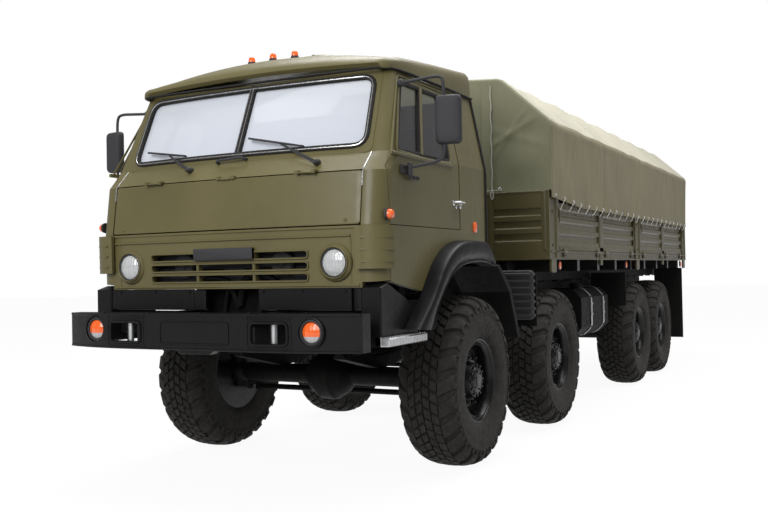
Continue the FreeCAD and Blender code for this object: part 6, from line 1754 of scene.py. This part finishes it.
    def bands(self) -> bpy.types.Object:
        """Builds the hem bands, the seams over the top and the ridge seams, as strips on the cover."""
        shell = Shell("tilt_bands")
        total = self.length[-1]
        y = bars(self.front + self.corner, self.rear - self.corner, 260)
        profile = ((-0.002, 0.0), (0.002, 1.0), (1.0, 1.0), (1.002, 0.0))
        for low, high, lift in ((0.0, 0.058, 0.0045), (total - 0.058, total, 0.0045), (0.735, 0.750, 0.003),
                                (total - 0.750, total - 0.735, 0.003), (1.372, 1.386, 0.003),
                                (total - 1.386, total - 1.372, 0.003)):
            a = np.array([low + (high - low) * part for part, _ in profile])
            up = np.array([lift * part for _, part in profile])
            points = self.laid(y[:, None], a[None], up[None] - 0.001)
            spots = np.stack(np.broadcast_arrays(a[None] - total / 2, y[:, None]), -1)
            shell.grid(points, spots=spots)
            back = self.laid(y[:, None], a[None][:, ::-1], -0.002)
            shell.grid(back, spots=spots)
        for middle, wide, lift in ((1.860, 0.035, 0.005), (0.19, 0.012, 0.0032), (3.53, 0.012, 0.0032),
                                   (-1.615, 0.016, 0.0035), (4.945, 0.016, 0.0035)):
            rows = middle + wide * np.array([-1.06, -0.98, 0.98, 1.06])
            up = lift * np.array([0.0, 1.0, 1.0, 0.0])
            points = self.laid(rows[:, None], self.length[None], up[:, None] - 0.001)
            spots = np.stack(np.broadcast_arrays(self.length[None] - total / 2, rows[:, None]), -1)
            shell.grid(points, spots=spots)
            shell.grid(self.laid(rows[::-1, None], self.length[None], -0.002), spots=spots)
        return self.sheened_top_and_walls(shell.piece("chassis", CANVAS, CANVAS_TOP_SHEEN, CANVAS_END, smooth=50))

    def eyelets(self) -> None:
        """Builds the brass eyelets along both hems and beside the lacing on the walls."""
        shell = Shell("tilt_eyelets")
        rim = [(-0.001, 0.0075), (0.0045, 0.0085), (0.0065, 0.0125), (0.004, 0.0165), (-0.001, 0.0170)]
        for y in self.stations():
            for side in Side:
                a = 0.030 if side is Side.LEFT else self.length[-1] - 0.030
                place = self.laid(np.array([y]), np.array([a]), 0.004)[0]
                shell.turn(rim, place, (side.value, 0, 0), 12, ends=False)
        for x in (-0.805, -0.665, 0.665, 0.805):
            for level, way in ((self.front, -1), (self.rear, 1)):
                shell.turn(rim, (x, level + way * 0.004, 2.135), (0, way, 0), 12, ends=False)
        shell.piece("chassis", STEEL)

    def stations(self) -> Array:
        """Gives the eyelets' places along the truck."""
        return bars(self.front + 0.14, self.rear - 0.14, 24)

    def lacing(self) -> None:
        """Builds the zigzag ropes from the hem's eyelets to the boards' hooks, and the walls' lacing."""
        shell = Shell("tilt_lacing")
        stations = self.stations()
        middle = (stations[1:] + stations[:-1]) / 2
        points = np.empty((len(stations) * 2 - 1, 3))
        high = self.laid(stations, np.full(len(stations), 0.030), 0.012)
        points[::2] = high
        points[1::2] = np.stack([np.full(len(middle), 1.266), middle, np.full(len(middle), 1.924)], 1)
        rope = spread(rounded(points, 0.03, 3, closed=False), 0.035, closed=False)
        for side in Side:
            shell.strip(rope * (side.value, 1, 1), ring(0.0042, 6), (0.2, 0.1, 1))
        for level, way in ((self.front, -1), (self.rear, 1)):
            for x in (-0.735, 0.735):
                z = bars(2.118, 3.075, 60)
                line = np.stack([x + 0.004 * np.sin(z * 31), np.full(60, level + way * 0.012), z], 1)
                shell.strip(line, ring(0.0065, 8), (0, 1, 0))
                loop = [(x, level + way * 0.014, 2.135), (x + 0.014, level + way * 0.018, 2.10),
                        (x + 0.010, level + way * 0.020, 2.045), (x - 0.010, level + way * 0.020, 2.045),
                        (x - 0.014, level + way * 0.018, 2.10), (x, level + way * 0.014, 2.135)]
                shell.tube(rounded(loop, 0.02, 3, closed=False), 0.0055, (0, 1, 0), 6)
                for end in (x - 0.07, x + 0.07):
                    tie = [(x, level + way * 0.014, 2.128), ((x + end) / 2, level + way * 0.018, 2.118),
                           (end, level + way * 0.008, 2.135)]
                    shell.tube(rounded(tie, 0.02, 3, closed=False), 0.004, (0, 1, 0), 6)
        shell.piece("chassis", ROPE)

    def flaps(self) -> bpy.types.Object:
        """Builds the upright overlaps beside the lacing on both end walls."""
        shell = Shell("tilt_flaps")
        for level, way in ((self.front, -1), (self.rear, 1)):
            for x in (-0.70, 0.70):
                z = bars(2.102, 3.10, 40)[:, None]
                flat = np.array([(-0.062, 0.0), (-0.058, 0.007), (0.030, 0.008), (0.034, 0.0)])
                wave = 0.003 * np.sin(z * 9)
                points = np.stack(np.broadcast_arrays(x + flat[None, :, 0] + wave,
                                                      level + way * flat[None, :, 1], z), -1)
                shell.grid(points, spots=points[..., (0, 2)])
                back = points[:, ::-1] - (0, way * 0.006, 0)
                back[..., 1] = level - way * 0.004
                shell.grid(back, spots=points[..., (0, 2)])
        return shell.piece("chassis", CANVAS_END, smooth=50)

    def build(self) -> None:
        """Builds the cover, its bands and flaps, the eyelets and the lacing."""
        cover, *others = self.cover(), self.bands(), self.flaps()
        self.eyelets()
        self.lacing()


@dataclass
class BedFittings:
    """Stake posts, rails, latches, rope hooks and reflectors on the bed, and the tailgate's latches."""

    front: float = -1.695
    rear: float = 4.995
    half: float = 1.245
    post_out: float = 1.262
    board_low: float = 1.575
    board_top: float = 2.000
    hook_z: float = 1.920

    # where each folded post and each drop board starts and ends along the truck
    POSTS = ((-1.693, -1.430), (1.660, 1.930), (4.760, 4.993))
    BOARDS = ((-1.425, 1.655), (1.935, 4.755))
    HINGES = (-1.22, -0.06, 0.29, 1.46, 2.13, 3.17, 3.52, 4.56)
    LATCHES = (-1.40, 1.63, 1.96, 4.73)
    REFLECTORS = (-1.29, 1.31, 4.76)
    WALL_RIBS = (-1.238, -0.72, -0.38, 0.36, 0.70, 1.200)

    def posts(self, shell: Shell) -> None:
        """Adds the folded posts with a hollow face, their feet below the rail and their bolts."""
        near, out, back = self.half - 0.03, self.post_out, self.post_out - 0.012
        for y0, y1 in self.POSTS:
            fold = np.array([(near, y0), (out, y0), (out, y0 + 0.045), (back, y0 + 0.058), (back, y1 - 0.058),
                             (out, y1 - 0.045), (out, y1), (near, y1)])
            shell.slab(fold, Plane.PLAN, 1.500, 2.108, 0.003)
            middle = (y0 + y1) / 2
            foot = rounded([(middle - 0.075, 1.375), (middle + 0.075, 1.375), (middle + 0.075, 1.51),
                            (middle - 0.075, 1.51)], 0.03, 3)
            shell.slab(foot, Plane.FLANK, 1.236, 1.2575, 0.003)
            for z in (1.405, 1.62, 1.92):
                shell.turn([(0.0, 0.014), (0.006, 0.014), (0.010, 0.009)], (1.249, middle, z), (1, 0, 0), 8)

    def rails(self, shell: Shell) -> None:
        """Adds the boards' rolled top edges, their folded rims and stiffeners, and the floor's rail."""
        roll = np.array([(-0.023, -0.006), (0.023, -0.006), (0.023, 0.004), (0.016, 0.009), (-0.016, 0.009),
                         (-0.023, 0.004)])
        low, top = self.board_low, self.board_top
        for y0, y1 in self.BOARDS:
            shell.strip(np.array([(1.226, y0, top + 0.003), (1.226, y1, top + 0.003)]), roll, (0, 0, 1))
            middle, y0, y1 = (y0 + y1) / 2, y0 + 0.004, y1 - 0.004
            shell.box((1.222, middle - 0.045, 1.435), (1.2505, middle + 0.045, 1.505), 0.003)
            ribs = ((middle - 0.072, middle + 0.072, 1.506, top), (y0, y0 + 0.044, low, top),
                    (y1 - 0.044, y1, low, top), (y0, y1, top - 0.048, top), (y0, y1, low, low + 0.043))
            for start, end, foot, head in ribs:
                shell.box((1.243, start, foot), (1.2515, end, head), 0.003)
        for z0, z1 in ((1.492, 1.504), (1.556, 1.568)):
            shell.box((1.243, self.front, z0), (self.post_out, self.rear, z1), 0.002)

    def latches(self, shell: Shell) -> None:
        """Adds the hinges along the boards' feet and the hook latches at the posts."""
        for y in self.HINGES:
            shell.box((1.248, y - 0.034, 1.515), (1.2585, y + 0.034, 1.600), 0.003)
            shell.tube([(1.261, y - 0.052, 1.566), (1.261, y + 0.052, 1.566)], 0.0115, sides=10)
            for shift in (-0.02, 0.02):
                shell.turn([(0.0, 0.007), (0.005, 0.007)], (1.2585, y + shift, 1.53), (1, 0, 0), 6)
        for y in self.LATCHES:
            shell.box((1.248, y - 0.014, 1.87), (self.post_out, y + 0.014, 1.96), 0.003)
            hook = [(1.266, y, 1.955), (1.268, y, 1.90), (1.268, y, 1.84), (1.262, y, 1.825)]
            shell.tube(rounded(hook, 0.02, 3, closed=False), 0.006, (0, 1, 0), 8)

    def hooks(self, shell: Shell) -> None:
        """Adds a rope hook at each low turn of the tilt's lacing."""
        stations = Tilt().stations()
        for y in (stations[1:] + stations[:-1]) / 2:
            path = [(x, y + shift, self.hook_z - sink) for x, shift, sink in (
                (1.246, -0.018, 0.005), (1.262, -0.014, 0.002), (1.264, 0.0, 0.0), (1.262, 0.014, 0.002),
                (1.246, 0.018, 0.005))]
            shell.tube(rounded(path, 0.01, 2, closed=False), 0.0045, sides=6)

    def wall(self) -> None:
        """Builds the front wall's rolled top edge and its upright ribs."""
        shell = Shell("front_wall_trim")
        shell.box((-self.half, -1.700, 2.088), (self.half, -1.652, 2.104), 0.004)
        for x in self.WALL_RIBS:
            shell.box((x, -1.7015, self.board_low), (x + 0.035, -1.693, 2.09), 0.003)
        shell.piece("chassis", BED_PAINT)

    def reflectors(self) -> None:
        """Builds the round orange side reflectors in dark rims, on their brackets."""
        shell = Shell("side_reflectors")
        rim = [(0.0, 0.036), (0.0, 0.043), (0.014, 0.043), (0.017, 0.040), (0.017, 0.036)]
        lens = [(0.002, 0.037), (0.016, 0.037), (0.021, 0.030), (0.022, 0.012)]
        for y in self.REFLECTORS:
            shell.box((1.205, y - 0.010, 1.420), (1.213, y + 0.010, 1.495), 0.002, 1)
            shell.turn(rim, (1.212, y, 1.437), (1, 0, 0), 24, 1)
            shell.turn(lens, (1.212, y, 1.437), (1, 0, 0), 24, 0)
        # the reflectors share the orange lens's glow, which on them is painted light
        shell.mirror().piece("chassis", ORANGE, PLASTIC)

    def gate(self) -> None:
        """Builds the tailgate's frame ribs, its top edge, end latches and grips."""
        shell = Shell("tailgate_trim")
        for x0, x1 in ((-1.243, -1.195), (-0.04, 0.04), (1.195, 1.243)):
            shell.box((x0, 4.993, 1.60), (x1, 5.003, self.board_top), 0.003)
        shell.box((-1.243, 4.952, 1.995), (1.243, 5.002, 2.010), 0.004)
        for x in (-1.215, 1.215):
            shell.box((x - 0.018, 5.000, 1.86), (x + 0.018, 5.012, 1.95), 0.003)
            shell.tube([(x, 5.014, 1.945), (x, 5.016, 1.83)], 0.007, (0, 1, 0), 8)
        for x in (-0.7, 0.7):
            grip = [(x - 0.07, 5.0, 1.955), (x - 0.06, 5.02, 1.952), (x + 0.06, 5.02, 1.952),
                    (x + 0.07, 5.0, 1.955)]
            shell.tube(rounded(grip, 0.015, 3, closed=False), 0.007, (0, 0, 1), 8)
        shell.piece("tailgate", BED_PAINT)

    def build(self) -> None:
        """Builds all the bed's fittings."""
        shell = Shell("bed_fittings")
        self.posts(shell)
        self.rails(shell)
        self.latches(shell)
        self.hooks(shell)
        shell.mirror().piece("chassis", BED_PAINT)
        self.wall()
        self.reflectors()
        self.gate()


@dataclass
class Gear:
    """Details under the bed and the cab: bearers, radiator, ribbed cases, tank straps and hoses."""

    tank_near: float = 0.640
    tank_far: float = 1.140
    tank_low: float = 0.709
    tank_high: float = 1.195
    radiator_y: float = -4.56
    fins: int = 90

    STRAPS = (0.05, 0.535)
    SEAMS = (-0.309, 0.759)
    # the pipes along the rails: height, radius
    PIPES = ((1.02, 0.009), (1.06, 0.007), (1.10, 0.009))
    # the pipes ahead of the radiator: middle x, height, radius
    COOLING = ((-0.16, 1.395, 0.02), (0.07, 1.36, 0.014), (0.20, 1.41, 0.024))

    def case(self) -> None:
        """Builds the ribbed cases behind the first wheels."""
        shell = Shell("ribbed_case")
        outline = rounded([(0.90, 0.985), (1.245, 0.985), (1.245, 1.400), (0.90, 1.400)], 0.03, 4)
        shell.slab(outline, Plane.FRONT, -2.155, -2.0865, 0.008)
        for z in bars(1.02, 1.365, 7):
            ahead = np.stack([bars(0.915, 1.232, 6), np.full(6, -2.156), np.full(6, z)], 1)
            beside = np.stack([np.full(4, 1.2455), bars(-2.148, -2.094, 4), np.full(4, z)], 1)
            shell.strip(ahead, lip(0.026, 0.012, 0.003), FORWARD)
            shell.strip(beside, lip(0.026, 0.010, 0.003), (1, 0, 0))
        shell.mirror().piece("chassis", PLASTIC)

    def tank(self) -> None:
        """Builds the tanks' bright straps with their tightening bolts, and the end seams and fillers."""
        shell = Shell("tank_straps")
        near, far, low, high = self.tank_near, self.tank_far, self.tank_low, self.tank_high
        outline = np.array([(near, low + 0.06), (near + 0.06, low), (far - 0.09, low), (far, low + 0.09),
                            (far, high - 0.09), (far - 0.09, high), (near + 0.06, high), (near, high - 0.06)])
        band = np.array([(-0.0035, -0.019), (0.0025, -0.019), (0.0025, 0.019), (-0.0035, 0.019)])
        for y in self.STRAPS:
            path = placed(spread(rounded(inset(outline, -0.0075), 0.03, 3), 0.03), Plane.FRONT, y)
            shell.hoop(path, band, (0, 1, 0))
            shell.tube([(1.152, y, 0.93), (1.152, y, 1.03)], 0.006, (0, 1, 0), 8)
            for z in (0.925, 1.035):
                shell.box((1.147, y - 0.016, z - 0.008), (1.162, y + 0.016, z + 0.008), 0.002)
        shell.mirror().piece("chassis", ALLOY)
        shell = Shell("tank_fillers")
        for y in self.SEAMS:
            path = placed(spread(rounded(inset(outline, 0.004), 0.04, 4), 0.03), Plane.FRONT, y)
            shell.hoop(path, ring(0.007, 6), (0, 1, 0))
        filler = [(1.19, 0.055), (1.215, 0.055), (1.218, 0.048), (1.222, 0.062), (1.248, 0.062),
                  (1.254, 0.052)]
        shell.turn(filler, (1.03, -0.12, 0.0), (0, 0, 1), 24)
        shell.turn([(0.695, 0.0), (0.695, 0.016), (0.712, 0.016)], (0.90, 0.20, 0.0), (0, 0, 1), 6)
        shell.mirror().piece("chassis", FRAME_PAINT)

    def hoses(self) -> None:
        """Builds the brake hoses to the steered wheels' drums, and the pipes and clips along the rails."""
        shell = Shell("brake_hoses")
        for y in AXLES[:2]:
            for shift in (0.0, 0.035):
                route = [(0.50, y + 0.16 + shift, 1.02), (0.56, y + 0.17 + shift, 0.95),
                         (0.62, y + 0.17, 0.80 + shift), (0.70, y + 0.12, 0.70 + shift)]
                shell.tube(rounded(route, 0.08, 5, closed=False), 0.011, (0, 1, 0), 8)
        for z, radius in self.PIPES:
            shell.tube([(0.488, y, z) for y in bars(-2.60, 4.40, 8)], radius, sides=8)
        for y in bars(-2.45, 4.25, 9):
            shell.box((0.4755, y - 0.014, 1.004), (0.500, y + 0.014, 1.114), 0.002)
        shell.mirror().piece("chassis", PLASTIC)

    def bearers(self) -> None:
        """Builds the long bearers under the bed's floor, their clamps, and dark plates inside the wheels,
        painted shade for the space under the bed.
        """
        shell = Shell("bed_bearers")
        shell.box((0.800, -1.66, 1.287), (0.850, 4.93, 1.491), 0.006)
        for y in bars(-1.5, 4.8, 15):
            shell.box((0.795, y - 0.03, 1.275), (0.857, y + 0.03, 1.293), 0.003)
        # dark plates inside the wheels: painted shade for the shaded space under the bed
        for y0, y1 in ((1.22, 4.32), (-1.95, -0.80)):
            shell.box((0.700, y0, 1.135), (0.712, y1, 1.400), 0.004)
        shell.mirror().piece("chassis", FRAME_PAINT)

    def radiator(self) -> None:
        """Builds the finned radiator and its pipes behind the opening under the grille, and dark aprons
        behind the gap over the bumper, as painted shade.
        """
        shell = Shell("radiator")
        y = self.radiator_y
        shell.box((-0.34, y, 1.13), (0.34, y + 0.05, 1.44), 0.004)
        for z in (1.13, 1.43):
            shell.box((-0.35, y - 0.012, z - 0.02), (0.35, y + 0.062, z + 0.03), 0.01)
        lows = np.stack([bars(-0.335, 0.33, self.fins), np.full(self.fins, y - 0.004),
                         np.full(self.fins, 1.165)], 1)
        shell.boxes(lows, lows + (0.0025, 0.005, 0.235))
        for x, z, radius in self.COOLING:
            route = [(x - 0.15, y - 0.02, z - 0.2), (x - 0.10, y - 0.05, z - 0.03), (x, y - 0.06, z),
                     (x + 0.14, y - 0.05, z - 0.02), (x + 0.20, y - 0.02, z - 0.2)]
            shell.tube(rounded(route, 0.06, 5, closed=False), radius, (0, 1, 0), 10)
        # dark aprons behind the gap between the lower panels and the bumper: painted shade for that gap
        for side in Side:
            low, high = sorted((side.value * 0.36, side.value * 0.95))
            shell.box((low, -4.634, 1.02), (high, -4.628, 1.172), 0.002)
        shell.piece("chassis", FRAME_PAINT)

    def cover(self) -> None:
        """Builds the plate that narrows the opening under the grille on the truck's right."""
        shell = Shell("lower_panel_cover")
        shell.box((-0.262, -4.675, 1.179), (-0.165, -4.655, 1.311), 0.003)
        shell.piece("cab", BLACK_PAINT)

    def build(self) -> None:
        """Builds the bearers, radiator, cover plate, cases, straps and hoses."""
        self.bearers()
        self.radiator()
        self.cover()
        self.case()
        self.tank()
        self.hoses()


def pad_form(low: Sequence[float], high: Sequence[float], power: float = 5.0, rows: int = 24,
             columns: int = 48) -> Array:
    """A crowned block: a superellipsoid |x|^p + |y|^p + |z|^p = 1 stretched to the box.

    Args:
        low: The box's low corner.
        high: Its high corner.
        power: The power; a higher one is squarer.
        rows: Rings from the bottom to the top.
        columns: Points in a ring.

    Returns:
        The rings.
    """
    rise = np.linspace(-np.pi / 2 + 0.02, np.pi / 2 - 0.02, rows)[:, None]
    turn = np.linspace(0, 2 * np.pi, columns, endpoint=False)[None]
    ray = np.stack(np.broadcast_arrays(np.cos(rise) * np.cos(turn), np.cos(rise) * np.sin(turn),
                                       np.sin(rise)), -1)
    ray = ray / (np.abs(ray) ** power).sum(-1, keepdims=True) ** (1 / power)
    low, high = np.asarray(low, float), np.asarray(high, float)
    return (low + high) / 2 + ray * (high - low) / 2


def swollen(name: str, rings: Array, voxel: float, cap: float) -> Shell:
    """The form is remeshed to even voxels, simulated for twenty frames with pressure and no weight,
    and each point is then held within the cap of where it started.

    Args:
        name: The shell's name.
        rings: The form as rings.
        voxel: The voxels' size.
        cap: How far a point may move.

    Returns:
        The shell with the swollen surface.
    """
    plain = Shell(name)
    plain.loft(rings)
    scene = bpy.context.scene
    mesh = bpy.data.meshes.new(name + "_work")
    mesh.from_pydata(np.concatenate(plain.points).tolist(), [], plain.faces)
    work = bpy.data.objects.new(name + "_work", mesh)
    scene.collection.objects.link(work)
    remesh = work.modifiers.new("Voxels", "REMESH")
    remesh.mode, remesh.voxel_size = "VOXEL", voxel
    even = bpy.data.meshes.new_from_object(work.evaluated_get(bpy.context.evaluated_depsgraph_get()))
    work.modifiers.remove(remesh)
    work.data = even
    rest = np.empty(len(even.vertices) * 3)
    even.vertices.foreach_get("co", rest)
    cloth = work.modifiers.new("Cloth", "CLOTH")
    cloth.settings.use_pressure = True
    cloth.settings.uniform_pressure_force = 4.0
    cloth.settings.effector_weights.gravity = 0.0
    for number in range(1, 21):
        scene.frame_set(number)
    shown = work.evaluated_get(bpy.context.evaluated_depsgraph_get())
    moved = np.empty(len(rest))
    shown.data.vertices.foreach_get("co", moved)
    rest, moved = rest.reshape(-1, 3), moved.reshape(-1, 3)
    step = moved - rest
    size = np.linalg.norm(step, axis=1, keepdims=True)
    points = rest + step * np.minimum(1, cap / np.maximum(size, 1e-9))
    faces = [tuple(face.vertices) for face in even.polygons]
    scene.frame_set(1)
    bpy.data.objects.remove(work)
    made = Shell(name)
    made.add(points, np.array([face if len(face) == 4 else (*face, face[-1]) for face in faces]))
    return made


@dataclass
class Seats:
    """The two seats: stuffed cushions and backs on a framed stand."""

    x: float = 0.64
    lean: float = math.radians(8)
    voxel: float = 0.012
    swelling: float = 0.014

    def seat(self, name: str, x: float) -> None:
        """Builds one seat: its cushion and its leaning back swollen as cloth, and the stand.

        Args:
            name: Whose seat.
            x: Its middle.
        """
        cushion = pad_form((x - 0.225, -3.760, 1.838), (x + 0.225, -3.262, 1.930))
        shell = swollen(f"{name}_cushion", cushion, self.voxel, self.swelling)
        shell.piece("cab", SEAT_CLOTH, stands_for=["seats"], smooth=60)
        flat = pad_form((x - 0.222, -0.045, 0.0), (x + 0.222, 0.045, 0.63))
        cosine, sine = math.cos(self.lean), math.sin(self.lean)
        back = np.stack([flat[..., 0], flat[..., 1] * cosine + flat[..., 2] * sine - 3.215,
                         flat[..., 2] * cosine - flat[..., 1] * sine + 1.905], -1)
        shell = swollen(f"{name}_back", back, self.voxel, self.swelling)
        shell.piece("cab", SEAT_CLOTH, smooth=60)
        shell = Shell(f"{name}_stand")
        shell.box((x - 0.205, -3.735, 1.800), (x + 0.205, -3.275, 1.838), 0.01)
        shell.box((x - 0.158, -3.700, 1.4915), (x + 0.158, -3.300, 1.800), 0.02)
        for side in (-1, 1):
            tube = x + side * 0.20
            shell.tube([(tube, -3.27, 1.82), (tube, -3.225, 1.90), (tube, -3.14, 2.42)], 0.012, (1, 0, 0), 8)
        shell.piece("cab", PLASTIC)

    def build(self) -> None:
        """Builds both seats."""
        self.seat("driver", self.x)
        self.seat("passenger", -self.x)


@dataclass
class Spare:
    """The spare tyre, upright behind the cab with its axis along the truck."""

    centre: tuple[float, float, float] = (0.0, -2.33, 1.87)

    def build(self) -> None:
        """Builds the tyre about the origin and turns it a quarter turn about z."""
        shell = Shell("spare_tread")
        Tyre().add(shell, (0, 0, 0))
        shell.points = [points[:, [1, 0, 2]] * (-1, 1, 1) + self.centre for points in shell.points]
        shell.piece("chassis", TYRE, stands_for=["spare_tyre"], smooth=40)


PARTS = (Wheels(), Spare(), Windscreen(), Wipers(), Grille(), Flap(), Corners(), Roof(), Doors(), Arches(),
         Bumper(), BedFittings(), Gear(), Seats(), Tilt())


@dataclass
class Underbody:
    """The frame's own nodes that stay, each with its finish."""

    finishes: dict[str, Finish] = field(default_factory=lambda: {
        **{name: FRAME_PAINT for name in (
            "frame_rails", "cross_members", "leaf_springs", "propeller_shafts", "engine_block",
            "axle_beams", "fuel_tanks", "mudguards", "cab_floor", "spare_carrier", "track_rod_1",
            "track_rod_2", "knuckle_1_left", "knuckle_1_right", "knuckle_2_left", "knuckle_2_right")},
        **{name: CAB_PAINT for name in (
            "cab_back", "cab_side_left", "cab_side_right", "cab_front", "grille_panel", "door_left",
            "door_right", "corner_deflectors")},
        "front_bumper": BLACK_PAINT, "windscreen": SCREEN, "door_glass_left": DOOR_GLASS,
        "door_glass_right": DOOR_GLASS, "dashboard": PLASTIC, "cargo_floor": FLOOR_PAINT,
        "cargo_walls": BED_PAINT, "tailgate": BED_PAINT})

    def build(self, nodes: dict[str, bpy.types.Object]) -> None:
        """Puts each finish on its node."""
        for name, finish in self.finishes.items():
            nodes[name].data.materials.clear()
            nodes[name].data.materials.append(finish.material())
            LOG.info("%s: node with %s", name, finish.name)


def corners(box: Sequence[Sequence[float]]) -> list[list[float]]:
    """Gives a box's two corners as plain lists."""
    return [[float(value) for value in corner] for corner in box]


def main() -> None:
    """Builds the truck's looks over the frame, in order."""
    logging.basicConfig(level=logging.INFO, format="%(message)s")
    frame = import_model()
    Studio().build()
    for part in PARTS:
        part.build()
    Underbody().build(frame["nodes"])
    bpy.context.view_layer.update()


if __name__ == "__main__":
    main()
